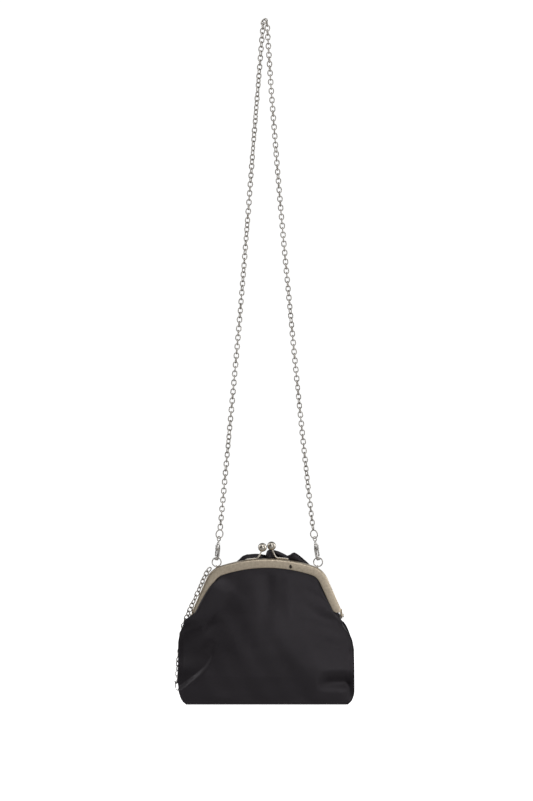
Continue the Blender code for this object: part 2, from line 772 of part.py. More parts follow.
def bow_tail(name, parent, lean):
    """A cut ribbon end that hangs from the knot behind the loops."""
    lines = []
    for row in range(6):
        down = row / 5
        middle = lean * (6 + 16 * down)
        half = 5 + 7 * down
        height = -14 - 31 * down
        lines.append([
            Vector((middle - half, 1.4, height + lean * 2)) * MM,
            Vector((middle, 1.7, height)) * MM,
            Vector((middle + half, 1.4, height - lean * 2)) * MM,
        ])
    return keep(sheet(lines, 0.8 * MM), name, SATIN, parent)


# ---------------------------------------------------------------- assembly


def build_strap():
    route = smooth_route(strap_route(), STRAP_SPACING)
    keep(tube(route, CHAIN_RADIUS), "strap_chain", SILVER)
    frame_ring("left_frame_ring", -1)
    frame_ring("right_frame_ring", 1)
    clasp("left", ring_top(-1), LEFT_CLASP_TILT, math.pi - CLASP_TURN)
    clasp("right", ring_top(1), RIGHT_CLASP_TILT, math.pi + CLASP_TURN)


def build_frame(bag, front, bag_place, front_place):
    frame_half("rear_frame", -1, EAR_X, bag, bag_place)
    frame_half("front_frame", 1, EAR_X + EAR_THICKNESS + GAP, front, front_place)
    channel_cord("rear_channel_cord", -1, bag, bag_place)
    channel_cord("front_channel_cord", 1, front, front_place)
    lock_stud("rear_lock_stud", -1, -1, bag, bag_place)
    lock_stud("front_lock_stud", 1, 1, front, front_place)
    for end, side in ((-1, "left"), (1, "right")):
        ring_lug(f"{side}_ring_lug", end, bag, bag_place)
        rivet(f"{side}_hinge_rivet", end, bag, bag_place)


def build_pouch(bag, front, bag_place, front_place):
    def under_cord(foot_x):
        return arch_height(foot_x, 4 * MM)

    def under_cord_lining(foot_x):
        return arch_height(foot_x, 4.4 * MM)

    def seam(foot_x):
        return min(under_cord(foot_x) - SEAM_GAP, FRONT_SEAM_Z)

    def below_seam(foot_x):
        beyond = (abs(foot_x) - FOOT_CLEAR_X) / (POUCH_TOP_HALF_WIDTH - FOOT_CLEAR_X)
        drop = (FRONT_SEAM_Z - SEAM_GAP - GUSSET_TOP_Z) * min(max(2 * beyond, 0), 1)
        return seam(foot_x) - SEAM_GAP - drop

    def cloth_end(foot_x):
        return POUCH_FLOOR_Z

    def lining_end(foot_x):
        return POUCH_FLOOR_Z + 2.5 * MM

    lined = {"inset": LINING_INSET, "narrower": LINING_NARROWER,
             "channel_y": CHANNEL_LINING_Y, "thickness": LINING_CLOTH}
    keep(panel(-1, under_cord, cloth_end, 14, 9), "rear_panel", SATIN, bag, bag_place)
    keep(panel(1, under_cord, seam, 14, 4), "front_panel_upper", SATIN, front, front_place)
    keep(panel(1, below_seam, cloth_end, 14, 5), "front_panel_lower", SATIN, bag, bag_place)
    keep(panel(-1, under_cord_lining, lining_end, 10, 7, **lined), "rear_lining", LINING,
         bag, bag_place)
    keep(panel(1, under_cord_lining, seam, 10, 3, **lined), "front_lining_upper", LINING,
         front, front_place)
    keep(panel(1, below_seam, lining_end, 10, 4, **lined), "front_lining_lower", LINING,
         bag, bag_place)
    for end, side in ((-1, "left"), (1, "right")):
        keep(gusset(end, GUSSET_TOP_Z, 0, CLOTH), f"{side}_gusset", SATIN, bag, bag_place)
        keep(gusset(end, GUSSET_TOP_Z - 6 * MM, LINING_INSET, LINING_CLOTH),
             f"{side}_gusset_lining", LINING, bag, bag_place)
    for name, finish, half_x, half_y, middle, thickness in (
        ("base_panel", SATIN, 82.5 * MM, 22 * MM, 0.6 * MM, 1.2 * MM),
        ("base_board", BOARD, 81 * MM, 19.4 * MM, 2.3 * MM, 1.4 * MM),
        ("base_lining", LINING, 79 * MM, 18.6 * MM, 3.9 * MM, 0.8 * MM),
    ):
        floor = floor_plate(half_x, half_y, POUCH_FLOOR_Z + middle, thickness)
        keep(floor, name, finish, bag, bag_place)


def build_bow(front, front_place):
    bow = pivot("bow_place", Vector(front_place) + Vector(BOW_MIDDLE), front, (BOW_LEAN, 0, 0))
    bow_loop("bow_left_loop", bow, -1, -68, (-24, 10), (-52, 12))
    bow_loop("bow_right_loop", bow, 1, 68, (-24, 10), (-52, 16))
    knot = [[[(-5, 2, -22), (-5, 19, -22)], [(-5, 2, 15), (-5, 17, 15)]],
            [[(5, 2, -22), (5, 19, -22)], [(5, 2, 15), (5, 17, 15)]]]
    pillow(knot, "bow_knot", bow)
    bow_tail("bow_left_tail", bow, -1)
    bow_tail("bow_right_tail", bow, 1)


def build_short_chain(bag, bag_place):
    route = smooth_route(short_chain_route(), SHORT_CHAIN_SPACING)
    keep(tube(route, CHAIN_RADIUS), "short_chain", SILVER, bag, bag_place)
    place = Vector(bag_place) + Vector(SHORT_CLASP_AT)
    clasp("short", place, 0, math.pi - math.radians(60), SHORT_CLASP_SCALE, bag)


def build():
    lug_axis = FRAME_ORIGIN + Vector((0, LUG_Y, RING_MIDDLE_Z - RING_RADIUS))
    hinge_axis = FRAME_ORIGIN + Vector((0, 0, -HINGE_BELOW_TOP))
    bag = pivot("bag_swing_axis", lug_axis)
    front = pivot("front_frame_axis", hinge_axis - lug_axis, bag)
    bag_place = FRAME_ORIGIN - lug_axis
    front_place = FRAME_ORIGIN - hinge_axis
    build_strap()
    build_frame(bag, front, bag_place, front_place)
    build_pouch(bag, front, bag_place, front_place)
    build_bow(front, front_place)
    build_short_chain(bag, bag_place)


build()
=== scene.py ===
"""Looks of the evening bag: satin pouch, nickel frame and clasps, chain links, bow and lining."""

import json
import math
import random
from bisect import bisect_right

import bmesh
import bpy
from mathutils import Matrix, Vector
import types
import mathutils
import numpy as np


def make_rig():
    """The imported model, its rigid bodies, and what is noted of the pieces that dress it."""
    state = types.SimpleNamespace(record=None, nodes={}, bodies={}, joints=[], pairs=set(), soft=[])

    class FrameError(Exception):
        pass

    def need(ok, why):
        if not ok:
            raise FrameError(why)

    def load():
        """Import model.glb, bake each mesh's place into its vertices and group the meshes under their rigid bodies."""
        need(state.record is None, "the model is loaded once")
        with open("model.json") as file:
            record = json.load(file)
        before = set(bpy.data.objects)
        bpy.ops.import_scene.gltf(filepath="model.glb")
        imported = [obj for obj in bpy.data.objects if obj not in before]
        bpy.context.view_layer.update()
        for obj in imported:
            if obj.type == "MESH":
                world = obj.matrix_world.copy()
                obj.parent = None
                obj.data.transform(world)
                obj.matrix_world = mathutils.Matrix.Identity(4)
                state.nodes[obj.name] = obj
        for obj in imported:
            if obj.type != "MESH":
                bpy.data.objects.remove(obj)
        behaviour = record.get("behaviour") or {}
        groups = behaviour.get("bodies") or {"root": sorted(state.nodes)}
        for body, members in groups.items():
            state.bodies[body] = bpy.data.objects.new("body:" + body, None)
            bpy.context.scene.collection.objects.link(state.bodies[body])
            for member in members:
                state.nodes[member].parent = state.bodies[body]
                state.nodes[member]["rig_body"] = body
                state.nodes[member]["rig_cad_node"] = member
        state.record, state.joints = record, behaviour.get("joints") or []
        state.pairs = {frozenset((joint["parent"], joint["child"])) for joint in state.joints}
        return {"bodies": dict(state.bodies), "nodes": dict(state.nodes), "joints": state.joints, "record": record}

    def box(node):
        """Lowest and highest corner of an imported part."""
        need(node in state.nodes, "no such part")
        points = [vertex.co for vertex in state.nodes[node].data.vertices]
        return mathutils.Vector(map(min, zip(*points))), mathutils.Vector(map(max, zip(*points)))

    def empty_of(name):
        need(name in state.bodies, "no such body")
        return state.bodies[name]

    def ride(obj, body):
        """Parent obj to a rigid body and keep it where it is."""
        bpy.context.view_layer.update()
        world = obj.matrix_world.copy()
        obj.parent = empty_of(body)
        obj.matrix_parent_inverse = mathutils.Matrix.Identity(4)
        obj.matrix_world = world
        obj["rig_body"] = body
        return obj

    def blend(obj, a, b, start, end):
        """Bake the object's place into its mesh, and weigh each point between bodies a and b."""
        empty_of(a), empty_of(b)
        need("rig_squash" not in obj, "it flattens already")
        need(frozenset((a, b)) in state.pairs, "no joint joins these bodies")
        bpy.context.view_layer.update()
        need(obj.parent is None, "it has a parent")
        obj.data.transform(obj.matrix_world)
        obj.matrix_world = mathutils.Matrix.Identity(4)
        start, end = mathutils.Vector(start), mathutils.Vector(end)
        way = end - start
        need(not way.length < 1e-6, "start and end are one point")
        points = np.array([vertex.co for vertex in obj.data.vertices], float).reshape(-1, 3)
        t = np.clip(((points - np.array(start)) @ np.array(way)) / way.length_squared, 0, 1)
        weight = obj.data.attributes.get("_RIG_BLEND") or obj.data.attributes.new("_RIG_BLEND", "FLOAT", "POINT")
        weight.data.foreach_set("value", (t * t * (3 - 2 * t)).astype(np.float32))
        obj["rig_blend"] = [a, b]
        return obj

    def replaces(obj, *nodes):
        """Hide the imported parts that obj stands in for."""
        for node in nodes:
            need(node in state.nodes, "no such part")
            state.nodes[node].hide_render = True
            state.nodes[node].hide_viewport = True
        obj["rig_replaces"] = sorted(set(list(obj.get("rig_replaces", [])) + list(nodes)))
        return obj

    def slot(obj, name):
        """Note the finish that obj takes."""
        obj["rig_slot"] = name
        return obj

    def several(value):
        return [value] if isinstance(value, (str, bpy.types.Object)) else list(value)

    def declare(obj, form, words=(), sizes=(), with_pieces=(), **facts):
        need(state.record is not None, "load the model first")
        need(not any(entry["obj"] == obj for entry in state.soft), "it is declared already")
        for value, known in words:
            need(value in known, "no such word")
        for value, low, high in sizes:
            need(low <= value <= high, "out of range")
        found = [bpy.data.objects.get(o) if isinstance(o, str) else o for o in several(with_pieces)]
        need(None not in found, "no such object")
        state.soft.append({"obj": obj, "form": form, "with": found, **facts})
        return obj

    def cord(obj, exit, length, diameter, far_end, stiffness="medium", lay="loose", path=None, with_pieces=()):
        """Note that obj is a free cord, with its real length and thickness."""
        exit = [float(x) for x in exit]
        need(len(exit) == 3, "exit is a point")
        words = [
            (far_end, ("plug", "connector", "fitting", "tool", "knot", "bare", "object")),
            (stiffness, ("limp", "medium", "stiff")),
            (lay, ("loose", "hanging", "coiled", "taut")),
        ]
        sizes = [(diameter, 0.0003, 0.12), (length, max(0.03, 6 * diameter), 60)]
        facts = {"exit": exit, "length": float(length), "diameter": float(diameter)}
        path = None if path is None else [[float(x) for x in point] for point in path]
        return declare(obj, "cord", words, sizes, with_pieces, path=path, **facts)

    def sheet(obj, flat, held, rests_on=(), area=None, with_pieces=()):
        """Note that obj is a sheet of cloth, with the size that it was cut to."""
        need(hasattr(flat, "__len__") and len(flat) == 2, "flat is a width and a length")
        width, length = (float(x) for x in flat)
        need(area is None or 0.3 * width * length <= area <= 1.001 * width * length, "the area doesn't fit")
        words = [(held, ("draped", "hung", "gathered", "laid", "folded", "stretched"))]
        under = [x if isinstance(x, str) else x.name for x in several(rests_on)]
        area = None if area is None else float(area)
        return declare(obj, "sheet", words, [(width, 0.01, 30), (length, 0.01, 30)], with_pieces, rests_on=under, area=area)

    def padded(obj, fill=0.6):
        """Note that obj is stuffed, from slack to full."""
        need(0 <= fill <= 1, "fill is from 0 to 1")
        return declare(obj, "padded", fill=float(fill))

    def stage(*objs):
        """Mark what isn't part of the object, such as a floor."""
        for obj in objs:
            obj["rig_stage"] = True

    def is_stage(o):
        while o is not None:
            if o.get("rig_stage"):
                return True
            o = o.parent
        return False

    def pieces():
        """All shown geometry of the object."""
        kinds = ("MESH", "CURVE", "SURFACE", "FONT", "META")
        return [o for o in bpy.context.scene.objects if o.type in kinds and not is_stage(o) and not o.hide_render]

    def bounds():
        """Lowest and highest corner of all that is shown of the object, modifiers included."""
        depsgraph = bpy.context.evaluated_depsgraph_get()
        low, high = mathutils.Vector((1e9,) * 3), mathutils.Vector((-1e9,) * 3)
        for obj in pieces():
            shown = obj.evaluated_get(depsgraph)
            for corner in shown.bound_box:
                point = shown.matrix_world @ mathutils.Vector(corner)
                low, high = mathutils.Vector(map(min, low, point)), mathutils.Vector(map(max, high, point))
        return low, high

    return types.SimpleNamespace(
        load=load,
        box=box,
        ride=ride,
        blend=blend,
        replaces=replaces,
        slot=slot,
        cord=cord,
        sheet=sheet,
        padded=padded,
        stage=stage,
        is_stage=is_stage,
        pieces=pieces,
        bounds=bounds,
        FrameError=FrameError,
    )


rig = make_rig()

for old in list(bpy.data.objects):
    bpy.data.objects.remove(old, do_unlink=True)
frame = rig.load()
CAD_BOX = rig.bounds()

MM = 0.001
JOINTS = {joint["name"]: joint for joint in frame["joints"]}
HINGE = Vector(JOINTS["front_frame_open"]["pos_m"])
TOP = Vector((HINGE.x, 0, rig.box("rear_frame")[1].z))  # top middle of the frame
FLOOR_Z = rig.box("rear_panel")[0].z - TOP.z  # pouch's bottom, from the frame's top

# Frame, as in the CAD
ARCH_RADIUS = 165 * MM
CORNER_RADIUS = 25 * MM
CORNER_START = math.radians(18.2)
LEG_SPLAY = math.radians(24)
LEG_FOOT_Z = -58.3 * MM
BAND_WIDTH = 9.5 * MM
FOOT_ROUNDING = 2.6 * MM
RIVET_X = 81.65  # this and the next are in millimetres from the middle
LUG_X = 55.7

# Chain
LINK_PITCH = 4.97 * MM
LINK_HALF_LENGTH = 3.1 * MM  # to the middle of the wire
LINK_HALF_WIDTH = 2.5 * MM
LINK_WIRE = 0.62 * MM
CHAIN_WIDTH = 6.2 * MM

# Clasps, as in the CAD
GATE_PIVOT = (3, 10.3)  # in millimetres
EYE_MIDDLE = 20.9 * MM
JUMP_RING_MIDDLE = 26 * MM
RING_WIRE = 0.6 * MM
RING_X = {"left": -55.3, "right": 56.1}  # frame rings' middles, in millimetres
RING_Y = -3.5
SHORT_SCALE = 0.65

# Pouch
POUCH_TOP_HALF_WIDTH = 78.5 * MM
POUCH_HALF_DEPTH = 26 * MM
POUCH_FLOOR_HALF_DEPTH = 23.5 * MM
SWELL_HEIGHT = 95 * MM
CHANNEL_CLOTH_Y = 4.6 * MM
CLOTH = 0.9 * MM
LINING_CLOTH = 0.6 * MM
RIBBON = 0.7 * MM

BOW_X = 3  # bow's middle, in millimetres

# Turns a flat outline's X and Y into Y and Z, and its thickness into X
UPRIGHT = Matrix(((0, 0, 1, 0), (1, 0, 0, 0), (0, 1, 0, 0), (0, 0, 0, 1)))


# ---------------------------------------------------------------- helpers


def at(x, y, z):
    """A point given in millimetres from the frame's top middle."""
    return TOP + Vector((x, y, z)) * MM


def smooth(low, high, value):
    """0 below low, 1 above high, and an even ramp with soft ends between."""
    share = min(max((value - low) / (high - low), 0), 1)
    return share * share * (3 - 2 * share)


def circle(count):
    """Even angles once round."""
    return [2 * math.pi * n / count for n in range(count)]


def arc(start, end, steps):
    """Even angles from one to another, both given in degrees."""
    return [math.radians(start + (end - start) * n / steps) for n in range(steps + 1)]


def squared(value, power):
    """A sine or cosine pushed outwards, which makes a circle squarer."""
    return math.copysign(abs(value) ** power, value)


def table(points, value):
    """Read a piecewise straight line of (input, output) points."""
    if value <= points[0][0]:
        return points[0][1]
    for (x0, y0), (x1, y1) in zip(points, points[1:]):
        if value <= x1:
            return y0 + (y1 - y0) * (value - x0) / (x1 - x0)
    return points[-1][1]


def soft_table(points, value, reach):
    """The same line with its corners rounded over the reach."""
    steps = (-1, -0.5, 0, 0.5, 1)
    return sum(table(points, value + reach * step) for step in steps) / len(steps)


def add(name, data):
    """An object in the scene."""
    made = bpy.data.objects.new(name, data)
    bpy.context.scene.collection.objects.link(made)
    return made


def piece(name, shape, finish, body, replaced=(), flat_sides=False):
    """Make a mesh piece from (points, faces), give it its finish and put it on its body."""
    points, faces = shape
    mesh = bpy.data.meshes.new(name)
    mesh.from_pydata([tuple(p) for p in points], [], faces)
    made = bmesh.new()
    made.from_mesh(mesh)
    bmesh.ops.recalc_face_normals(made, faces=made.faces)
    made.to_mesh(mesh)
    made.free()
    mesh.shade_smooth()
    if flat_sides:
        mesh.set_sharp_from_angle(angle=math.radians(40))
    mesh.materials.append(finish)
    thing = add(name, mesh)
    if body:
        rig.ride(thing, body)
    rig.slot(thing, SLOTS[finish.name])
    if replaced:
        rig.replaces(thing, *replaced)
    return thing


def merged(shapes):
    """Several shapes as one, each still a separate body."""
    points, faces = [], []
    for more_points, more_faces in shapes:
        first = len(points)
        points += more_points
        faces += [[first + n for n in face] for face in more_faces]
    return points, faces


def moved(shape, matrix):
    return [matrix @ Vector(p) for p in shape[0]], shape[1]


def bridge(rings, closed=False, caps=True):
    """Faces between rings of the same number of points."""
    around, points, faces = len(rings[0]), [p for ring in rings for p in ring], []
    count = len(rings)
    for row in range(count if closed else count - 1):
        a, b = row * around, (row + 1) % count * around
        for n in range(around):
            after = (n + 1) % around
            faces.append([a + n, a + after, b + after, b + n])
    if caps and not closed:
        faces.append(list(range(around))[::-1])
        faces.append([(count - 1) * around + n for n in range(around)])
    return points, faces


def frames_along(path, closed=False):
    """A direction and two square directions at each point of a path, without twist."""
    count, found, side = len(path), [], None
    for n in range(count):
        before = path[n - 1] if n or closed else path[0]
        after = path[(n + 1) % count] if n < count - 1 or closed else path[-1]
        along = (after - before).normalized()
        if side is None:
            side = Vector((0, 1, 0)) if abs(along.y) < 0.9 else Vector((1, 0, 0))
        side = (side - side.dot(along) * along).normalized()
        found.append((along, side, along.cross(side)))
    return found


def wire(path, radius, closed=False, sides=10):
    """A round wire. The radius is one number, or a function of the share along the path."""
    rings = []
    for n, (place, (_, side, other)) in enumerate(zip(path, frames_along(path, closed))):
        size = radius(n / (len(path) - 1)) if callable(radius) else radius
        rings.append([place + size * (math.cos(t) * side + math.sin(t) * other)
                      for t in circle(sides)])
    return bridge(rings, closed)


def ring(radius, thickness, around=40, sides=12, stretch=1):
    """A wire ring in the XZ plane."""
    path = [Vector((radius * math.cos(t), 0, radius * stretch * math.sin(t)))
            for t in circle(around)]
    return wire(path, thickness, True, sides)


def turned(profile, around=32, unit=MM):
    """A solid turned about Z from (radius, height) points, from one end to the other."""
    return bridge([[Vector((r * math.cos(t), r * math.sin(t), z)) * unit for t in circle(around)]
                   for r, z in profile])


def ball(middle, radius, around=36):
    steps = around // 2
    angles = [math.pi * (n + 0.35) / (steps + 0.7 - 1) for n in range(steps)]
    shape = turned([(math.sin(a), -math.cos(a)) for a in angles], around, radius)
    return moved(shape, Matrix.Translation(middle))


def curve_through(knots, spacing):
    """Points along a smooth curve through the knots, at least one in each stretch."""
    lengths = [(b - a).length for a, b in zip(knots, knots[1:])]
    slopes = [(knots[1] - knots[0]) / lengths[0]]
    for n in range(1, len(knots) - 1):
        slopes.append((knots[n + 1] - knots[n - 1]) / (lengths[n - 1] + lengths[n]))
    slopes.append((knots[-1] - knots[-2]) / lengths[-1])
    route = []
    for n, length in enumerate(lengths):
        steps = max(1, round(length / spacing))
        for step in range(steps):
            t = step / steps
            bend = (t ** 3 - 2 * t ** 2 + t) * slopes[n] + (t ** 3 - t ** 2) * slopes[n + 1]
            share = 3 * t ** 2 - 2 * t ** 3
            route.append((1 - share) * knots[n] + share * knots[n + 1] + length * bend)
    return [*route, knots[-1]]


def path_length(path):
    return sum((b - a).length for a, b in zip(path, path[1:]))


def measured(path):
    """A path's length, and a way to find the place at a distance along it and its stretch."""
    reach = [0]
    for a, b in zip(path, path[1:]):
        reach.append(reach[-1] + (b - a).length)

    def spot(distance):
        n = min(bisect_right(reach, distance), len(path) - 1) - 1
        share = min((distance - reach[n]) / (reach[n + 1] - reach[n]), 1)
        return path[n].lerp(path[n + 1], share), n

    return reach[-1], spot


def plate(outlines, thickness, rounding, matrix):
    """A flat plate with rounded edges: the first outline is its edge, the rest are holes."""
    curve = bpy.data.curves.new("plate", "CURVE")
    curve.dimensions = "2D"
    curve.fill_mode = "BOTH"
    curve.extrude = thickness / 2 - rounding
    curve.bevel_depth = rounding
    curve.bevel_resolution = 3
    curve.offset = -rounding
    for outline in outlines:
        line = curve.splines.new("POLY")
        line.points.add(len(outline) - 1)
        for point, (across, along) in zip(line.points, outline):
            point.co = (across, along, 0, 1)
        line.use_cyclic_u = True
    holder = bpy.data.objects.new("plate", curve)
    mesh = bpy.data.meshes.new_from_object(holder)
    welded = bmesh.new()
    welded.from_mesh(mesh)
    bmesh.ops.remove_doubles(welded, verts=welded.verts, dist=0.000001)
    points = [v.co.copy() for v in welded.verts]
    faces = [[v.index for v in face.verts] for face in welded.faces]
    welded.free()
    bpy.data.objects.remove(holder)
    bpy.data.curves.remove(curve)
    bpy.data.meshes.remove(mesh)
    return moved((points, faces), matrix)


# ---------------------------------------------------------------- materials


def fill(tree, target, inputs):
    """Set inputs of a node, each to a value or by a link from another node's output."""
    for key, value in inputs.items():
        if isinstance(value, bpy.types.NodeSocket):
            tree.links.new(value, target.inputs[key])
        else:
            target.inputs[key].default_value = value


def node_maker(tree):
    """A way to add nodes to a tree."""
    def node(kind, inputs=None, **settings):
        new = tree.nodes.new(kind)
        for key, value in settings.items():
            setattr(new, key, value)
        fill(tree, new, inputs or {})
        return new

    return node


def new_material(name):
    """A material with its node tree, its shader and a way to add nodes to it."""
    made = bpy.data.materials.new(name)
    made.use_nodes = True
    tree = made.node_tree
    return made, tree, tree.nodes["Principled BSDF"], node_maker(tree)


def between(node, amount, low, high):
    """A colour between two others by an amount."""
    low, high = [colour if isinstance(colour, bpy.types.NodeSocket) else (*colour, 1)
                 for colour in (low, high)]
    return node("ShaderNodeMix", {0: amount, 6: low, 7: high}, data_type="RGBA").outputs[2]


def ranged(node, amount, low, high, source=(0.3, 0.7), **settings):
    """The amount moved from the source range to the one from low to high."""
    return node("ShaderNodeMapRange", {0: amount, 1: source[0], 2: source[1], 3: low, 4: high},
                **settings).outputs[0]


def calculated(node, operation, *values):
    return node("ShaderNodeMath", dict(enumerate(values)), operation=operation).outputs[0]


def bumped(node, height, strength, distance):
    return node("ShaderNodeBump", {"Height": height, "Strength": strength,
                                   "Distance": distance}).outputs[0]


def metal(name, low, high, roughness, mottle, scratch, scuff=None):
    """Plated metal: mottled colour and roughness, a fine grain and perhaps one dark scuff."""
    made, tree, shader, node = new_material(name)
    place = node("ShaderNodeTexCoord").outputs["Object"]
    blotch = node("ShaderNodeTexNoise", {"Vector": place, "Scale": mottle, "Detail": 6.0})
    grain = node("ShaderNodeTexNoise", {"Vector": place, "Scale": scratch, "Detail": 3.0})
    colour = between(node, ranged(node, blotch.outputs[0], 0, 1), low, high)
    if scuff:
        away = node("ShaderNodeVectorMath", {0: place, 1: scuff}, operation="DISTANCE")
        uneven = calculated(node, "MULTIPLY_ADD", blotch.outputs[0], 0.0024,
                            away.outputs["Value"])
        bare = ranged(node, uneven, 1, 0, (0.0027, 0.0034))
        colour = between(node, bare, colour, (0.05, 0.04, 0.035))
    fill(tree, shader, {
        "Base Color": colour,
        "Roughness": ranged(node, grain.outputs[0], *roughness),
        "Normal": bumped(node, grain.outputs[0], 0.25, 0.00002),
        "Metallic": 1,
    })
    return made


def cloth(name, low, high, thread, roughness, sheen):
    """Woven cloth: fine crossed threads, and a slow change of tone and roughness."""
    made, tree, shader, node = new_material(name)
    place = node("ShaderNodeTexCoord").outputs["Object"]
    slow = node("ShaderNodeTexNoise", {"Vector": place, "Scale": 28.0, "Detail": 4.0})
    heights = []
    for turn in (0.6, -0.9):
        leant = node("ShaderNodeMapping", {"Vector": place, "Rotation": (0.3, turn, 0.2)})
        wave = node("ShaderNodeTexWave", {"Vector": leant.outputs[0], "Scale": thread,
                                          "Distortion": 1.2, "Detail": 2.0, "Detail Scale": 3.0})
        heights.append(wave.outputs["Fac"])
    weave = calculated(node, "MULTIPLY", *heights)
    tone = ranged(node, calculated(node, "ADD", slow.outputs[0], weave), 0, 1, (0.3, 1.3))
    fill(tree, shader, {
        "Base Color": between(node, tone, low, high),
        "Roughness": ranged(node, slow.outputs[0], *roughness),
        "Normal": bumped(node, weave, 0.35, 0.00006),
        "Specular Tint": (0.98, 0.92, 1, 1),
        "Sheen Weight": sheen,
        "Sheen Roughness": 0.4,
    })
    return made


def plain(name, low, high, grain, roughness):
    """Matt stuff such as paper, board or thread, with a visible grain."""
    made, tree, shader, node = new_material(name)
    place = node("ShaderNodeTexCoord").outputs["Object"]
    noise = node("ShaderNodeTexNoise", {"Vector": place, "Scale": grain, "Detail": 5.0})
    fill(tree, shader, {
        "Base Color": between(node, ranged(node, noise.outputs[0], 0, 1), low, high),
        "Roughness": roughness,
        "Normal": bumped(node, noise.outputs[0], 0.3, 0.0001),
    })
    return made


NICKEL = metal("frame_nickel", (0.57, 0.483, 0.37), (0.705, 0.608, 0.476), (0.33, 0.46), 420,
               2600, at(25.9, -6.8, -7.9))
SILVER = metal("bright_nickel", (0.60, 0.55, 0.48), (0.78, 0.73, 0.65), (0.10, 0.20), 300, 2200)
CHAIN = metal("chain_nickel", (0.42, 0.39, 0.35), (0.66, 0.625, 0.58), (0.12, 0.24), 300, 2200)
CAST = metal("cast_nickel", (0.72, 0.70, 0.67), (0.88, 0.86, 0.83), (0.20, 0.34), 300, 2200)
SATIN_TONES = (0.0084, 0.0066, 0.0084), (0.0138, 0.0111, 0.0136)
SATIN = cloth("black_satin", *SATIN_TONES, 1500, (0.40, 0.52), 0.05)
PIPING = cloth("satin_piping", *SATIN_TONES, 1500, (0.20, 0.30), 0.05)
LINING = cloth("black_lining", (0.016, 0.016, 0.018), (0.03, 0.03, 0.033), 1100, (0.6, 0.75), 0.1)
THREAD = plain("black_thread", (0.012, 0.012, 0.013), (0.04, 0.04, 0.042), 3000, 0.6)
PAPER = plain("paper_cord", (0.42, 0.35, 0.26), (0.62, 0.54, 0.42), 900, 0.9)
BOARD = plain("grey_board", (0.25, 0.24, 0.22), (0.42, 0.41, 0.38), 700, 0.9)

# The material slot that each finish stands for
SLOTS = {finish.name: slot for slot, finishes in {
    "brushed_nickel": (NICKEL,), "bright_nickel": (SILVER, CHAIN, CAST),
    "black_satin": (SATIN, PIPING, THREAD), "black_lining": (LINING,),
}.items() for finish in finishes}


# ---------------------------------------------------------------- stage


def camera():
    data = bpy.data.cameras.new("camera")
    data.sensor_width = 36
    data.lens = 73.55
    made = add("camera", data)
    made.location = (1.65 * MM, -1.8, -0.4222)
    made.rotation_euler = (math.pi / 2, 0, 0)
    bpy.context.scene.camera = made


def softbox(name, place, aim, size, power):
    data = bpy.data.lights.new(name, "AREA")
    data.shape = "RECTANGLE"
    data.size, data.size_y = size
    data.energy = power
    made = add(name, data)
    made.location = place
    made.rotation_euler = (Vector(aim) - Vector(place)).to_track_quat("-Z", "Y").to_euler()


def surroundings(scene):
    """White to the camera. Reflections see it bright at the sides and dark before and behind."""
    world = bpy.data.worlds.new("studio")
    scene.world = world
    world.use_nodes = True
    tree = world.node_tree
    node = node_maker(tree)
    soft = {"interpolation_type": "SMOOTHSTEP"}
    direction = node("ShaderNodeTexCoord").outputs["Generated"]
    across, along, up = node("ShaderNodeSeparateXYZ", {0: direction}).outputs
    off_axis = calculated(node, "ABSOLUTE", along)
    level = ranged(node, off_axis, 0.9, 0.085, (0.15, 0.6), **soft)
    side = node("ShaderNodeValToRGB", {0: ranged(node, across, 0, 1, (-1, 1))})
    stops = ((0, 0.5), (0.06, 0.3), (0.12, 0.05), (0.3, 0.08), (0.4, 0.85), (0.6, 1.2), (1, 1.1))
    while len(side.color_ramp.elements) < len(stops):
        side.color_ramp.elements.new(0.5)
    for stop, (position, value) in zip(side.color_ramp.elements, stops):
        stop.position = position
        stop.color = (value, value, value, 1)
    overhead = ranged(node, up, 0, 1, (0.12, 0.5), **soft)
    side_level = node("ShaderNodeMix", {0: overhead, 2: side.outputs[0], 3: 1}).outputs[0]
    top_level = ranged(node, up, 1.0, 0.3, (0.72, 0.95), **soft)
    reflected = calculated(node, "MULTIPLY", calculated(node, "MULTIPLY", level, side_level),
                           top_level)
    seen = node("ShaderNodeLightPath").outputs["Is Camera Ray"]
    strength = node("ShaderNodeMix", {0: seen, 2: reflected, 3: 1.02}).outputs[0]
    fill(tree, tree.nodes["Background"], {"Color": (1, 1, 1, 1), "Strength": strength})


def build_floor():
    """A round white floor far below the bag. Only the camera sees it shine."""
    around = 64
    rings = [[Vector((r * math.cos(t), r * math.sin(t), -0.93)) for t in circle(around)]
             for r in (0.4, 2.6)]
    points, faces = bridge(rings, caps=False)
    faces.append(list(range(around)))
    paint = plain("floor_paint", (0.90, 0.90, 0.90), (0.93, 0.93, 0.93), 8, 0.8)
    tree = paint.node_tree
    node = node_maker(tree)
    shader = tree.nodes["Principled BSDF"]
    seen = node("ShaderNodeLightPath").outputs["Is Camera Ray"]
    painted = shader.inputs["Base Color"].links[0].from_socket
    fill(tree, shader, {
        "Base Color": between(node, seen, (0.4, 0.4, 0.4), painted),
        "Emission Color": (1, 1, 1, 1),
        "Emission Strength": ranged(node, seen, 0.1, 0.9, (0, 1)),
    })
    mesh = bpy.data.meshes.new("floor")
    mesh.from_pydata([tuple(p) for p in points], [], faces)
    mesh.materials.append(paint)
    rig.stage(add("floor", mesh))


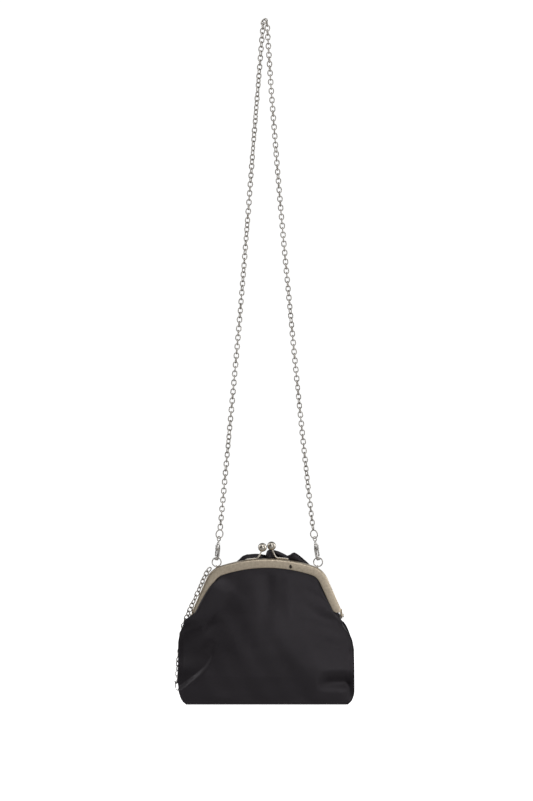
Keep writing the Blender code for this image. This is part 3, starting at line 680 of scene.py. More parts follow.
def studio():
    scene = bpy.context.scene
    scene.view_settings.view_transform = "Standard"
    surroundings(scene)
    middle = (0, 0, -0.62)
    for name, place, size, power in (
        ("strip_light", (-1.5, 0.7, -0.45), (0.35, 1.5), 4),
        ("strip_light", (1.5, 0.5, -0.45), (0.35, 1.5), 5),
        ("top_softbox", (0.15, -0.95, 0.9), (1.3, 0.9), 6),
        ("left_softbox", (-0.3, -1.9, -0.3), (0.4, 1.2), 0.8),
        ("upper_softbox", (0.25, -1.75, 0.4), (0.9, 0.5), 1.8),
        ("front_softbox", (0.78, -1.85, -0.5), (0.9, 1.2), 5.6),
        ("right_softbox", (1.6, -0.7, -0.3), (0.8, 1.4), 0.9),
        ("rear_softbox", (0.4, 1.7, -0.2), (1.4, 1.2), 2.4),
    ):
        softbox(name, place, middle, size, power)
    build_floor()


# ---------------------------------------------------------------- chains


def link_shape():
    """One oval cable link: long along Z and wide along X."""
    path = [Vector((LINK_HALF_WIDTH * squared(math.cos(angle), 0.86), 0,
                    LINK_HALF_LENGTH * squared(math.sin(angle), 0.86))) for angle in circle(26)]
    return wire(path, LINK_WIRE, True, 10)


def chain(route, seed, first_roll):
    """Interlocking links along a route, each a quarter turn from the last and a bit loose."""
    fine = curve_through(route, 1 * MM)
    directions = frames_along(fine)
    length, spot = measured(fine)
    count = round(length / LINK_PITCH)
    pitch = length / count
    loose = random.Random(seed)
    shape, links, drift = link_shape(), [], 0
    for n in range(count):
        start, stretch = spot(n * pitch)
        end, _ = spot((n + 1) * pitch)
        along = (end - start).normalized()
        side = directions[stretch][1]
        side = (side - side.dot(along) * along).normalized()
        drift = 0.9 * drift + loose.uniform(-0.22, 0.22)
        roll = first_roll + n * math.pi / 2 + drift + loose.uniform(-0.14, 0.14)
        turn = Matrix((along.cross(side), side, along)).transposed().to_4x4()
        place = Matrix.Translation((start + end) / 2) @ turn @ Matrix.Rotation(roll, 4, "Z")
        links.append(moved(shape, place))
    return merged(links), length


def strap_route():
    """The strap's middle from the left clasp over the top to the right clasp, as in the CAD."""
    ends = [Vector((-49.261, -3.5, -563.384)), Vector((52.83, -3.5, -563.629))]
    middle = [
        (-45.1, -3.2, -520), (-36.1, -2.6, -424), (-27.2, -2.3, -325), (-19.1, -2.3, -224),
        (-12.4, -2.3, -136), (-7, -2.5, -70), (-4.1, -2.6, -34), (-2.4, -2.6, -13),
        (-2.1, -2.3, -6.8), (0, 0, -3.1), (2.1, 2.3, -6.8), (2.6, 2.6, -13),
        (3.9, 2.6, -34), (6.2, 2.2, -70), (11.2, 2, -136), (18.5, 1, -224),
        (27.9, -0.5, -325), (37.5, -2, -424), (47.7, -3, -520),
    ]
    return [Vector(point) * MM for point in (ends[0], *middle, ends[1])]


def short_chain_route():
    """The short chain's middle from the left ring down the bag's end, half hidden by it."""
    knots = [
        (-62.3, -3.5, -9.8), (-65.3, -3.6, -13.6), (-68.7, -3.6, -19.6), (-71.7, -3.4, -26.6),
        (-75.2, -3, -34.6), (-79.3, -2.4, -43.6), (-83.9, -1.4, -53.6), (-88.2, 0.4, -63.6),
        (-91.7, 2.4, -72.6), (-93.9, 4.4, -82.6), (-95.4, 6.4, -94.6), (-97.3, 7.4, -108),
        (-98.4, 7.5, -117), (-98.9, 7.5, -123.825),
    ]
    return [at(*point) for point in knots]


# ---------------------------------------------------------------- clasps


def claw_outline(unit):
    """C-shaped claw seen flat, open on the gate's side."""
    line = [(4.25 * math.cos(t), 6.05 + 9.1 * math.sin(t)) for t in arc(-42, -330, 36)]
    line += [(2.6 * math.cos(t), 3.95 + 5.9 * math.sin(t)) for t in arc(-318, -50, 28)]
    return [(across * unit, along * unit) for across, along in line]


def gate_outline(unit):
    """Lever from the hook's tip up round its pin, with a thumb tail, seen from its pin."""
    line = [
        (2.75, 1.7), (3.3, 1.5), (3.85, 1.7), (4.3, 3.8), (4.5, 6), (4.5, 9.4), (5, 11.6),
        (5.7, 13.4), (5.6, 14.1), (5, 14.3), (4.4, 13.4), (3.8, 12.4), (3, 11.7), (2.2, 11.2),
        (1.9, 10.4), (2.2, 9.5), (2.95, 8.8), (3.2, 7.2), (3.2, 5.2),
    ]
    return [((x - GATE_PIVOT[0]) * unit, (z - GATE_PIVOT[1]) * unit) for x, z in line]


def clasp(side, body, gate_body, ring_body, place, tilt, turn, scale=1.0):
    """Replace a lobster clasp's pieces with finished ones: those on the cord, and the rest."""
    unit = MM * scale

    def fitting(name, shape, finish, on, node):
        return piece(f"{side}_{name}", shape, finish, on, [f"{side}_clasp_{node}"])

    hub = Matrix.Translation(place) @ Matrix.Rotation(tilt, 4, "Y")
    swivel = hub @ Matrix.Rotation(turn, 4, "Z")
    claw = plate([claw_outline(unit)], 3.3 * unit, 0.95 * unit, swivel @ UPRIGHT)
    collar = turned([(0.5, 14.1), (1.7, 14.4), (1.95, 15.3), (1.7, 15.9), (1.25, 16.2),
                     (1.45, 16.8), (1.3, 17.3), (0.5, 17.4)], 20, unit)
    made = fitting("claw", merged([claw, moved(collar, swivel)]), CAST, body, "body")
    pivot = swivel @ Matrix.Translation((0, GATE_PIVOT[0] * unit, GATE_PIVOT[1] * unit))
    lever = plate([gate_outline(unit)], 1.6 * unit, 0.35 * unit, pivot @ UPRIGHT)
    gate = fitting("lever", lever, CAST, gate_body, "gate")
    pin = turned([(0.2, -1.72), (0.5, -1.6), (0.5, 1.6), (0.2, 1.72)], 16, unit)
    pin = fitting("lever_pin", moved(pin, pivot @ Matrix.Rotation(math.pi / 2, 4, "Y")), SILVER,
                  body, "gate_pin")
    lean = math.copysign(1, tilt) if tilt else 1
    eye_turn = hub @ Matrix.Rotation(-lean * math.radians(12), 4, "Z")
    loop = ring(1.75 * unit, 0.58 * unit, 28, 10, 1.43)
    loop = moved(loop, eye_turn @ Matrix.Translation((0, 0, EYE_MIDDLE * scale)))
    stem = turned([(0.35, 13.6), (0.68, 13.8), (0.68, 18), (0.4, 18.4)], 16, unit)
    eye = fitting("eye", merged([loop, moved(stem, eye_turn)]), CHAIN, ring_body, "swivel_eye")
    ring_turn = hub @ Matrix.Translation((0, 0, JUMP_RING_MIDDLE * scale))
    ring_turn = ring_turn @ Matrix.Rotation(lean * math.radians(36), 4, "Z")
    jump = fitting("jump_ring", moved(ring(4.55 * unit, RING_WIRE * scale), ring_turn), CHAIN,
                   ring_body, "jump_ring")
    return [jump, eye], [made, gate, pin]


def build_chains():
    on_strap = []
    for side, tilt, turn in (("left", 7, 180 - 22), ("right", -10, 180 + 22)):
        # A claw's foot stands on the inside of its frame ring
        on_cord, _ = clasp(side, f"{side}_clasp", f"{side}_gate", "strap",
                           at(RING_X[side], RING_Y, -3.4 + 5.05), math.radians(tilt),
                           math.radians(turn))
        on_strap += on_cord
    on_short, tip = clasp("short", "short_clasp", "short_gate", "bag", at(-98.9, 7.5, -144.3), 0,
                          math.radians(180 - 60), SHORT_SCALE)
    for side, middle in RING_X.items():
        shape = moved(ring(4.9 * MM, RING_WIRE, 48),
                      Matrix.Translation(at(middle, RING_Y, -3.25)))
        piece(f"{side}_ring", shape, CHAIN, "strap", [f"{side}_frame_ring"])
    for name, node, route, body, seed, roll, pieces, end in (
        ("strap_links", "strap_chain", strap_route(), "strap", 4, 0, on_strap, "object"),
        ("short_links", "short_chain", short_chain_route(), "bag", 11, math.pi / 4,
         on_short + tip, "fitting"),
    ):
        shape, length = chain(route, seed, roll)
        links = piece(name, shape, CHAIN, body, [node])
        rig.cord(links, exit=route[0], length=length, diameter=CHAIN_WIDTH, far_end=end,
                stiffness="limp", lay="hanging", path=curve_through(route, 2 * MM),
                with_pieces=pieces)


# ---------------------------------------------------------------- frame


def corner_middle():
    inner = ARCH_RADIUS - CORNER_RADIUS
    return inner * math.sin(CORNER_START), inner * math.cos(CORNER_START) - ARCH_RADIUS


def arch_half(inset, steps_top=30, steps_corner=20, steps_leg=16):
    """Right half of the arch from its top to its foot, inset from the outer edge."""
    side_x, side_z = corner_middle()
    end = math.pi / 2 - LEG_SPLAY
    line = []
    for n in range(steps_top):
        angle = CORNER_START * n / steps_top
        reach = ARCH_RADIUS - inset
        line.append((reach * math.sin(angle), reach * math.cos(angle) - ARCH_RADIUS))
    for n in range(steps_corner + 1):
        angle = CORNER_START + (end - CORNER_START) * n / steps_corner
        reach = CORNER_RADIUS - inset
        line.append((side_x + reach * math.sin(angle), side_z + reach * math.cos(angle)))
    last_x, last_z = line[-1]
    for n in range(1, steps_leg + 1):
        down = (last_z - LEG_FOOT_Z) * n / steps_leg
        line.append((last_x + down * math.tan(LEG_SPLAY), last_z - down))
    return line


def arch_height(across, inset):
    """Height of the inset arch above a distance from the middle."""
    line = arch_half(inset)
    return LEG_FOOT_Z if abs(across) > line[-1][0] else table(line, abs(across))


def insets(across, height):
    """How far a point lies inside the outer edges of the arch's two legs and its top."""
    side_x, side_z = corner_middle()
    down = (height - side_z) * math.sin(LEG_SPLAY)
    legs = [CORNER_RADIUS - (end * across - side_x) * math.cos(LEG_SPLAY) - down
            for end in (-1, 1)]
    return [*legs, ARCH_RADIUS - math.hypot(across, height + ARCH_RADIUS)]


def arch_inset(across, height):
    """How far a point lies inside the arch's outer edge."""
    side_x, side_z = corner_middle()
    out_x, out_z = abs(across) - side_x, height - side_z
    if CORNER_START < math.atan2(out_x, out_z) < math.pi / 2 - LEG_SPLAY:
        return CORNER_RADIUS - math.hypot(out_x, out_z)
    return min(insets(across, height))


def band_section():
    """Section of a frame half: inset from the outer edge and depth from the parting plane."""
    rim = 1.9
    line = [(0.35, 0.25), (0.08, 0.33), (0, 0.6)]
    line += [(rim - rim * math.cos(t), 6.7 - rim + rim * math.sin(t)) for t in arc(0, 90, 6)]
    line += [(3.4, 6.78), (6, 6.78), (8.3, 6.7), (8.9, 6.62), (9.3, 6.4), (9.5, 6.05),
             (9.45, 5.8), (9.1, 5.7), (1.6, 5.75), (1.05, 5.2), (1.05, 1.5), (1.3, 1.25),
             (7.6, 1.25), (7.95, 1.05), (8, 0.7), (7.9, 0.4), (7.6, 0.25)]
    return [(inset * MM, depth * MM) for inset, depth in line]


def both_halves(line):
    return [(-x, z) for x, z in reversed(line[1:])] + line


def frame_half(side):
    """One arched channel. Its feet are rounded off."""
    section = band_section()
    outer, inner = both_halves(arch_half(0)), both_halves(arch_half(BAND_WIDTH))
    rings = []
    for (x0, z0), (x1, z1) in zip(outer, inner):
        foot = math.hypot(x0 - math.copysign(outer[-1][0], x0), z0 - LEG_FOOT_Z)
        pull = 0
        if foot < FOOT_ROUNDING:
            pull = FOOT_ROUNDING - math.sqrt(FOOT_ROUNDING ** 2 - (FOOT_ROUNDING - foot) ** 2)
        line = []
        for inset, depth in section:
            share = min(max(inset, 0.75 * pull), BAND_WIDTH - pull) / BAND_WIDTH
            line.append(TOP + Vector((x0 + (x1 - x0) * share, side * depth,
                                      z0 + (z1 - z0) * share)))
        rings.append(line)
    return bridge(rings)


def ear(side, x):
    """Hinge ear: a rounded disc on the rivet with a strap up into the channel's foot."""
    hinge = (HINGE.z - TOP.z) / MM
    line = [(side * 6.3, -57.9), (side * 6.3, -55.8), (side * 1.2, -55.8)]
    line += [(-side * 3.6 * math.cos(t), hinge + 3.6 * math.sin(t)) for t in arc(98, -150, 24)]
    return plate([[(y * MM, z * MM) for y, z in line]], 1 * MM, 0.22 * MM,
                 Matrix.Translation(at(x, 0, 0)) @ UPRIGHT)


def lock_stud(side):
    """Half of the kiss lock: a bent wire along the frame's top with a ball on its end."""
    depth, lean, high = side * 3.4, side, 13.4 + 0.6 * side
    points = [(lean * x, depth, arch_height(x * MM, 0) / MM + 1.15)
              for x in (22.8, 20, 17, 14, 11.6)]
    points += [(lean * 10.3, depth, 1.3), (lean * 9.2, depth * 0.98, 2.6),
               (lean * 7.9, depth * 0.9, 4.9), (lean * 6.3, depth * 0.75, 8.2),
               (lean * 5.3, depth * 0.62, high - 1.5)]
    route = curve_through([at(*point) for point in points], 0.8 * MM)
    bent = wire(route, lambda share: (0.92 if share < 0.55 else 0.85) * MM, sides=14)
    neck = Matrix.Translation(at(lean * 5.6, depth * 0.66, high - 4.2))
    collar = turned([(0.6, -0.7), (1.5, -0.4), (1.9, 0.3), (1.4, 0.9), (0.6, 1.1)], 20)
    return merged([bent, ball(at(*points[0]), 0.92 * MM, 16),
                   moved(collar, neck @ Matrix.Rotation(-lean * 0.2, 4, "Y")),
                   ball(at(lean * 5, side * 2, high), 4.85 * MM, 40)])


def repaint(name, finish):
    """Give a CAD piece that stays in view its finish."""
    materials = frame["nodes"][name].data.materials
    materials.clear()
    materials.append(finish)


def build_frame():
    for side, name, body, ear_x in ((-1, "rear", "bag", 81), (1, "front", "front_frame", 82.3)):
        ears = [ear(side, end * ear_x) for end in (-1, 1)]
        piece(f"{name}_band", merged([frame_half(side), *ears]), NICKEL, body,
              [f"{name}_frame"], flat_sides=True)
        piece(f"{name}_kiss_ball", lock_stud(side), SILVER, body, [f"{name}_lock_stud"])
        repaint(f"{name}_channel_cord", PAPER)
    rivet = turned([(0.3, -3.1), (1.2, -3), (1.9, -2.75), (2.35, -2.1), (2.4, -1.8), (1.3, -1.75),
                    (1.3, 1.75), (2.4, 1.8), (2.35, 2.2), (1.8, 2.75), (1, 3), (0.3, 3.05)], 28)
    foot = arch_height(LUG_X * MM, 0) / MM + 0.05
    for end, side in ((-1, "left"), (1, "right")):
        place = Matrix.Translation(at(end * RIVET_X, 0, (HINGE.z - TOP.z) / MM))
        piece(f"{side}_rivet", moved(rivet, place @ Matrix.Rotation(math.pi / 2, 4, "Y")), SILVER,
              "bag", [f"{side}_hinge_rivet"], flat_sides=True)
        hoop = [(1.45, foot), *((1.45 * math.cos(t), -8.45 + 1.45 * math.sin(t))
                                for t in arc(-12, 192, 16)), (-1.45, foot)]
        hoop = [at(end * LUG_X, RING_Y + y, z) for y, z in hoop]
        piece(f"{side}_staple", wire(hoop, 0.55 * MM), SILVER, "bag", [f"{side}_ring_lug"])


# ---------------------------------------------------------------- pouch

# Half the pouch's width at depths below the frame's top, in millimetres
LEFT_SIDE = [(58.3, 78.5), (60.5, 81), (66.5, 85), (69.5, 89.5), (74, 92.5), (82, 95.3),
             (92, 97), (116, 96.8), (132, 97.4), (139, 96), (144, 94.6), (149, 93), (152.5, 91),
             (154.5, 88.8), (155.7, 86)]
RIGHT_SIDE = [(58.3, 78.5), (66.5, 80.9), (72.6, 86), (76.8, 88), (82, 90.2), (88, 92.2),
              (97, 94.2), (143, 94.2), (148, 93), (152, 91.2), (154.3, 88.8), (155.7, 86)]
LEFT_SIDE_REAR = [(58.3, 78.5), (62, 82), (66, 84.2), (70, 85.6), (74, 88.8), (77, 92.3),
                  (80, 94.1), (84, 95.6), (88, 96.4), *LEFT_SIDE[6:]]
RIGHT_SIDE_REAR = [(58.3, 78.5), (66, 79.4), (71, 80.6), (75, 83.2), (79, 87), (83, 90.4),
                   (88, 92.6), *RIGHT_SIDE[6:]]

# Soft folds: start x, depth, end x, depth, height and width of the ridge, in millimetres
REAR_FOLDS = [
    (1, 15, -1, 62, -1.5, 8), (22, 16, 26, 66, 0.6, 6),
    (42, 34, 70, 50, -0.9, 4), (40, 44, 74, 62, 0.8, 5),
    (42, 70, 80, 86, 1.0, 5), (58, 86, 90, 102, -1.2, 4.5),
    (34, 62, 58, 140, 1.0, 14), (88, 134, 92, 150, -1.3, 2.6), (-44, 28, -52, 58, 0.6, 7),
    (-62, 66, -66, 80, -1.0, 5), (-60, 88, -66, 98, -0.9, 5), (-84, 142, -40, 150, 0.8, 8),
]
FRONT_FOLDS = [
    (-40, 40, -62, 90, 1.0, 9), (38, 42, 60, 96, -1.0, 8), (-12, 60, -20, 120, 0.8, 11),
    (16, 62, 26, 128, -0.8, 10), (62, 96, 90, 110, -1.6, 6), (-90, 104, -60, 118, -1.6, 6),
    (-84, 132, -50, 140, 1.0, 8), (54, 128, 86, 142, 1.1, 7),
]


def half_width(depth, end, side):
    """Half the width of the front or rear cloth at a depth."""
    if end < 0:
        sides = LEFT_SIDE_REAR if side < 0 else LEFT_SIDE
    else:
        sides = RIGHT_SIDE_REAR if side < 0 else RIGHT_SIDE
    return soft_table(sides, depth / MM, 1.6) * MM


def soft_inset(across, height):
    """As arch_inset, but with no creases where the legs' and the top's sides meet."""
    reach = 7 * MM
    return -reach * math.log(sum(math.exp(-away / reach) for away in insets(across, height)))


def swell(foot_x, height, inset):
    """Distance of a panel from the middle plane: out of the channel, then swelling."""
    reach = 6 * MM
    level = LEG_FOOT_Z + reach * math.log(1 + math.exp((height - LEG_FOOT_Z) / reach))
    below = max(soft_inset(foot_x, level) - BAND_WIDTH + 2 * MM, 0) + max(level - height, 0)
    share = min(below / SWELL_HEIGHT, 1)
    amount = 0.3 * (1 - math.cos(math.pi * share)) + 0.4 * math.sin(math.pi / 2 * share)
    near_floor = max(0, 1 - (height - FLOOR_Z) / (30 * MM))
    full = POUCH_HALF_DEPTH - inset - (POUCH_HALF_DEPTH - POUCH_FLOOR_HALF_DEPTH) * near_floor
    start = CHANNEL_CLOTH_Y - inset
    return start + (full - start) * amount


def fold_height(folds, x, depth):
    """Sum of the soft folds at a place, in millimetres."""
    total = 0
    for x0, d0, x1, d1, height, width in folds:
        along_x, along_d = x1 - x0, d1 - d0
        length = math.hypot(along_x, along_d)
        share = ((x - x0) * along_x + (depth - d0) * along_d) / length ** 2
        off = ((x - x0) * along_d - (depth - d0) * along_x) / length
        if abs(off) < 3 * width and -0.4 < share < 1.4:
            ends = smooth(-0.35, 0.25, share) * (1 - smooth(0.75, 1.35, share))
            total += height * ends * math.exp(-(off / width) ** 2)
    return total


def left_dent(x, depth):
    """The rear panel caves in at its left end, above a sharp crease to the bottom corner."""
    crease = table([(-99, 144.5), (-95.5, 142), (-87.5, 136), (-80, 130), (-73.7, 125.4),
                    (-67, 120.5), (-62.5, 115), (-60, 108)], x)
    edge = -60 - 2.2 * math.cos((depth - 87) / 5.6)
    inward = 0.16 * (edge - x + math.hypot(edge - x, 2.5))
    above = smooth(-0.5, 5 + 3 * smooth(-80, -62, x), crease - depth)
    ridge = 0.35 * math.exp(-((crease - depth + 1.5) / 1.3) ** 2) * smooth(70, 84, -x)
    return -inward * above * smooth(56, 96, depth) + ridge


def right_dent(x, depth):
    """A hollow low at the rear panel's right end: it falls away slowly and comes back fast."""
    rise = smooth(52, 70, x) - smooth(84, 96, x)
    return -7.6 * rise * smooth(117, 134, depth) * (1 - smooth(132, 143, depth))


def cover(depth):
    """How far the rear cloth bulges over the frame's left leg, in millimetres."""
    line = [(11, 0), (17, 1.2), (24, 2.7), (31, 4), (39, 5.2), (46, 6.2), (53, 6.6), (58.3, 7),
            (64, 4.6), (70, 2.6), (77, 0.9), (84, 0)]
    return soft_table(line, depth, 2)


def wrinkle(x, depth, seed):
    """Small uneven waves that no cloth is without."""
    a = math.sin(x * 0.11 + seed) * math.sin(depth * 0.085 + 1.7 * seed)
    b = math.sin(x * 0.23 - depth * 0.13 + 2.3 * seed) * 0.45
    c = math.sin(x * 0.05 + depth * 0.31 + seed) * 0.25
    return 0.35 * (a + b + c)


def beside_leg(across, height):
    """1 where the frame's leg is nearer than its top, 0 where the top is."""
    *from_legs, from_top = insets(across, height)
    return smooth(-10 * MM, 4 * MM, from_top - min(from_legs))


def panel_point(side, share, height, inset=0.0, narrower=0.0):
    """A point of the front or rear cloth: share is from -1 to 1 across."""
    foot_x = share * (POUCH_TOP_HALF_WIDTH - narrower)
    wide = half_width(-height, 1 if share > 0 else -1, side) - narrower
    x, depth = share * wide / MM, -height / MM
    out = swell(foot_x, height, inset) / MM
    inside = (arch_inset(foot_x, max(height, LEG_FOOT_Z)) - BAND_WIDTH) / MM
    inside += max(0, depth + LEG_FOOT_Z / MM)
    free = smooth(0.5, 9, inside)
    floor_free = smooth(0, 9, (height - FLOOR_Z) / MM)
    folds = REAR_FOLDS if side < 0 else FRONT_FOLDS
    relief = fold_height(folds, x, depth) + wrinkle(x, depth, 1.0 if side < 0 else 2.6)
    if side < 0:
        relief += left_dent(x, depth) + right_dent(x, depth)
    out += relief * free * floor_free
    if side < 0 and inset == 0 and inside > 0:
        # The rear cloth bulges out of the frame and over its legs, less on the right
        over = cover(depth) * (1 if x < 0 else 0.4) * beside_leg(foot_x, height)
        near = smooth(0, 2.4, inside) * (1 - smooth(9, 34, inside))
        crest = 7.8 + 2.6 * smooth(2.8, 6, inside)
        out += max(crest - out, 0) * near * smooth(0, 4.5, over)
        shift = (over + 3.6 * smooth(0, 5, over)) * smooth(1.1, 4.2, inside)
        x += math.copysign(shift * (1 - smooth(4, 38, inside)), x)
    return at(x, side * out, -depth)


def spaced_shares(columns):
    """Shares across from -1 to 1, closer together at the ends."""
    return [math.sin((2 * n / columns - 1) * math.pi / 2 * 0.8) / math.sin(math.pi / 2 * 0.8)
            for n in range(columns + 1)]


def grid(rows, columns, place):
    """Lines of points, each at a share of the way down and a share of the way across."""
    return [[place(row / rows, column / columns) for column in range(columns + 1)]
            for row in range(rows + 1)]


def sheet_grid(lines, thickness):
    """A closed cloth of even thickness about a grid of points, with its one-sided area."""
    rows, columns = len(lines), len(lines[0])
    normals, area = [], 0
    for r in range(rows):
        for c in range(columns):
            down = lines[min(r + 1, rows - 1)][c] - lines[max(r - 1, 0)][c]
            across = lines[r][min(c + 1, columns - 1)] - lines[r][max(c - 1, 0)]
            normals.append(across.cross(down).normalized())
            if r < rows - 1 and c < columns - 1:
                area += (lines[r + 1][c] - lines[r][c]).cross(lines[r][c + 1] - lines[r][c]).length
    flat = [p for line in lines for p in line]
    points = [p + n * thickness / 2 for p, n in zip(flat, normals)]
    points += [p - n * thickness / 2 for p, n in zip(flat, normals)]
    count = rows * columns
    faces = []
    for r in range(rows - 1):
        for c in range(columns - 1):
            a = r * columns + c
            front = [a, a + 1, a + columns + 1, a + columns]
            faces += [front, [count + n for n in reversed(front)]]
    edge = list(range(columns))
    edge += [r * columns + columns - 1 for r in range(1, rows)]
    edge += [(rows - 1) * columns + c for c in range(columns - 2, -1, -1)]
    edge += [r * columns for r in range(rows - 2, 0, -1)]
    faces += [[b, a, count + a, count + b] for a, b in zip(edge, edge[1:] + edge[:1])]
    return (points, faces), area


def panel_lines(side, columns, rows, inset=0.0, narrower=0.0, bottom=0.0):
    """The front or rear cloth, or its lining, from inside the channel to the floor."""
    shares = spaced_shares(columns)
    tops = [arch_height(share * (POUCH_TOP_HALF_WIDTH - narrower), 4 * MM) for share in shares]
    low = FLOOR_Z + bottom
    return [[panel_point(side, share, top + (low - top) * row / rows, inset, narrower)
             for share, top in zip(shares, tops)] for row in range(rows + 1)]


def gusset_lines(end, rows, columns, top, inset=0.0):
    """Side wall from the rear panel's edge to the front panel's edge, folded in."""
    bottom = FLOOR_Z + 0.7 * MM + inset

    def place(down, t):
        height = top + (bottom - top) * down
        back, front = panel_point(-1, end, height), panel_point(1, end, height)
        fold = (7.5 * math.sin(math.pi * min(down * 1.08, 1)) ** 0.8 + 1.2) * MM
        margin = 0.02 + inset / max((front - back).length, 4 * inset + MM)
        from_middle = abs(2 * t - 1)
        inward = fold * (1 - from_middle ** 1.6) + 0.5 * MM + 1.2 * inset
        ripple = 0.5 * MM * math.sin(9 * down + 3 * t + end) * (1 - from_middle)
        drop = -3.5 * MM * (1 - from_middle + smooth(0.3, 0.9, t)) * (1 - down) ** 6
        return (back.lerp(front, margin + (1 - 2 * margin) * t)
                + Vector((-end * (inward + ripple), 0, drop)))

    return grid(rows, columns, place)


def stitches(path, length, gap, radius, lift):
    """A row of short thread stitches along a path, standing a little out of the cloth."""
    made, distance = [], gap
    total, spot = measured(path)
    while distance + length < total:
        a, b = spot(distance)[0], spot(distance + length)[0]
        half = (a + b) / 2 + lift
        bent = [a, a.lerp(half, 0.6) + lift * 0.3, half, b.lerp(half, 0.6) + lift * 0.3, b]
        made.append(wire(bent, radius, sides=6))
        distance += length + gap
    return merged(made)


def show_sheet(name, lines, thickness, finish, body, replaced, held, rests_on):
    """A piece of cloth from a grid of points, declared with its size when laid flat."""
    shape, area = sheet_grid(lines, thickness)
    made = piece(name, shape, finish, body, replaced)
    width = max(path_length(line) for line in lines)
    tall = max(path_length(line) for line in zip(*lines))
    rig.sheet(made, flat=(width, tall), area=min(area, width * tall), held=held, rests_on=rests_on)
    return made


def follow_hinge(made):
    """Bend a piece of the front cloth between the bag below and the front frame above."""
    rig.blend(made, "bag", "front_frame", start=at(0, 0, -84), end=at(0, 0, -57))


def build_pouch():
    halves = ((-1, "rear", "bag", (220, 150), ("",)),
              (1, "front", None, (120, 84), ("_upper", "_lower")))
    lining = {"inset": 2.8 * MM, "narrower": 6.5 * MM, "bottom": 4.4 * MM}
    for side, name, body, cells, parts in halves:
        outer = show_sheet(f"{name}_satin", panel_lines(side, *cells), CLOTH, SATIN, body,
                           [f"{name}_panel{part}" for part in parts], "stretched",
                           [f"{name}_frame"])
    for side, name, body, _, parts in halves:
        inner = show_sheet(f"{name}_lining_cloth", panel_lines(side, 60, 44, **lining),
                           LINING_CLOTH, LINING, body, [f"{name}_lining{part}" for part in parts],
                           "hung", [f"{name}_frame"])
    follow_hinge(outer)
    follow_hinge(inner)
    for end, side in ((-1, "left"), (1, "right")):
        show_sheet(f"{side}_side_satin", gusset_lines(end, 60, 24, -65.5 * MM), CLOTH, SATIN,
                   "bag", [f"{side}_gusset"], "hung", ["rear_frame"])
        show_sheet(f"{side}_side_lining", gusset_lines(end, 40, 16, -74 * MM, 2.8 * MM),
                   LINING_CLOTH, LINING, "bag", [f"{side}_gusset_lining"], "hung",
                   ["rear_frame"])
    build_base()
    build_seams()


def rounded_plate(half_x, half_y, low, high, corner=6 * MM, edge=0.4 * MM):
    """A flat slab with round corners and softened edges."""
    rings = []
    for inset, height in ((edge * 2, low), (0.3 * edge, low + 0.3 * edge), (0, low + edge),
                          (0, high - edge), (0.3 * edge, high - 0.3 * edge), (edge * 2, high)):
        line = []
        for quarter, (sx, sy) in enumerate(((1, 1), (-1, 1), (-1, -1), (1, -1))):
            for angle in arc(90 * quarter, 90 * quarter + 90, 8):
                line.append(TOP + Vector((
                    sx * (half_x - corner) + (corner - inset) * math.cos(angle),
                    sy * (half_y - corner) + (corner - inset) * math.sin(angle), height)))
        rings.append(line)
    return bridge(rings)


def build_base():
    base = rounded_plate(84.4 * MM, 22.9 * MM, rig.box("base_panel")[0].z - TOP.z,
                         FLOOR_Z + 1.3 * MM)
    piece("base_satin", base, SATIN, "bag", ["base_panel"])
    inner = rounded_plate(79 * MM, 18.6 * MM, FLOOR_Z + 3.5 * MM, FLOOR_Z + 4.3 * MM, 4 * MM,
                          0.2 * MM)
    piece("base_lining_cloth", inner, LINING, "bag", ["base_lining"])
    repaint("base_board", BOARD)


def build_seams():
    """Piped side seams, and topstitching along the bottom of both panels."""
    shares = [-0.99 + 1.98 * n / 160 for n in range(161)]
    for side, name, top in ((-1, "rear", -63.5 * MM), (1, "front", -70 * MM)):
        for end, hand in ((-1, "left"), (1, "right")):
            path = [panel_point(side, end, top + (FLOOR_Z - top) * n / 70) for n in range(71)]
            seam = wire(path, lambda share: (0.45 + 0.35 * smooth(0, 0.1, share)) * MM, sides=8)
            seam = piece(f"{name}_{hand}_seam", seam, PIPING, "bag" if side < 0 else None)
            if side > 0:
                follow_hinge(seam)
        bottom = [panel_point(side, share, FLOOR_Z + 0.35 * MM) for share in shares]
        piece(f"{name}_bottom_seam", wire(bottom, 0.7 * MM, sides=8), PIPING, "bag")
        out = Vector((0, side * MM, 0))
        line = [panel_point(side, share, FLOOR_Z + 2.9 * MM) + 0.5 * out for share in shares]
        piece(f"{name}_topstitch", stitches(line, 2.3 * MM, 0.9 * MM, 0.16 * MM, 0.12 * out),
              THREAD, "bag")


# ---------------------------------------------------------------- bow


def loop_lines(end, upper, lower, reach):
    """A ribbon loop from the knot out and back. Rows run across the ribbon."""
    def place(t, s):
        angle = math.pi * s
        out = 4 + (reach - 4) * math.sin(angle) ** 0.75
        top, low = table(upper, out), table(lower, out)
        z = top + (low - top) * t
        spread = smooth(4, 30, out)
        thick = 11 * (0.35 + 0.65 * spread) * (1 - 0.45 * abs(2 * t - 1) ** 3)
        y = 15.8 - 0.17 * z - 0.5 * thick * math.cos(angle) * math.sin(angle) ** 0.35
        pleat = 1.5 * math.cos(6.5 * math.pi * t + 0.6 * end) * math.exp(-(out - 4) / 13)
        pleat += 0.8 * math.sin(2.2 * math.pi * t + 0.11 * out + end) * spread
        z += 1.2 * math.sin(0.16 * out + 2.1 * t + (1.4 if s > 0.5 else 0)) * spread
        return at(BOW_X + end * out, y + pleat * (1 if s < 0.5 else -1), z)

    return grid(30, 64, place)


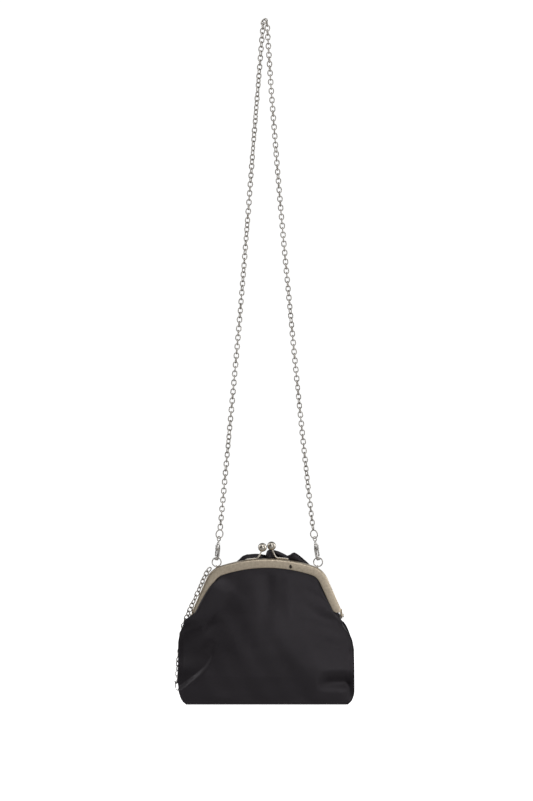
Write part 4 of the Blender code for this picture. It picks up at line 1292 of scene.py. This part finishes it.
def knot_shape():
    """The band round the bow's middle: a soft upright form with pleats."""
    rings = []
    for row in range(23):
        v = -1 + row / 11
        z = -5 + 13.5 * squared(v, 0.9)
        bulge = max(1 - abs(v) ** 3.2, 0) ** 0.5
        line = []
        for angle in circle(48):
            half_x = (1.6 + 3.4 * bulge) * squared(math.cos(angle), 0.7)
            half_y = (1.8 + 5 * bulge) * squared(math.sin(angle), 0.7)
            pleat = 1 + 0.07 * math.cos(7 * angle + 1.3 * v) * bulge
            line.append(at(BOW_X + 0.6 + half_x * pleat, 17.2 - 0.12 * z + half_y * pleat, z))
        rings.append(line)
    return bridge(rings)


def tail_lines(end):
    """A cut ribbon end that hangs from the knot behind the loops."""
    def place(v, s):
        u = 2 * s - 1
        middle, half = end * (6 + 15 * v), 4.5 + 7 * smooth(0, 0.8, v)
        z = -11 - 31 * v - end * 2.5 * u * v
        y = 10.9 - 0.16 * z + 0.9 * math.sin(2.6 * u + 5 * v) * v - 0.6
        y += 0.7 * math.cos(9 * u) * (1 - v) ** 2
        return at(BOW_X + middle + half * u, y, z)

    return grid(36, 14, place)


def build_bow():
    # Edges of the loops: millimetres out from the knot, and up from the frame's top
    left_top = [(4, 2.4), (11, 3.7), (19, 3.9), (25, 4.2), (30, 1.5), (35, -4.6), (46, -13),
                (60, -21)]
    left_low = [(4, -15), (14, -20), (30, -30), (46, -38), (60, -40)]
    right_top = [(4, 8.3), (9, 7), (19.5, 2), (23, 3.8), (26.5, 6.6), (31, 3.2), (38.2, -3.8),
                 (48, -12.5), (60, -21)]
    right_low = [(4, -15), (14, -21), (30, -31), (46, -38), (60, -40)]
    for end, side, upper, lower in ((-1, "left", left_top, left_low),
                                    (1, "right", right_top, right_low)):
        show_sheet(f"{side}_bow_ribbon", loop_lines(end, upper, lower, 57), RIBBON, SATIN,
                   "front_frame", [f"bow_{side}_loop"], "gathered", ["bow_knot"])
        show_sheet(f"{side}_bow_end", tail_lines(end), RIBBON, SATIN, "front_frame",
                   [f"bow_{side}_tail"], "hung", ["bow_knot"])
    knot = piece("bow_band", knot_shape(), SATIN, "front_frame", ["bow_knot"])
    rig.padded(knot, fill=0.7)


# ---------------------------------------------------------------- all

camera()
build_chains()
studio()
build_frame()
build_pouch()
build_bow()

with open("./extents.json", "w") as out_file:
    boxes = {"cad": CAD_BOX, "visual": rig.bounds()}
    json.dump({name: [list(corner) for corner in box] for name, box in boxes.items()}, out_file)
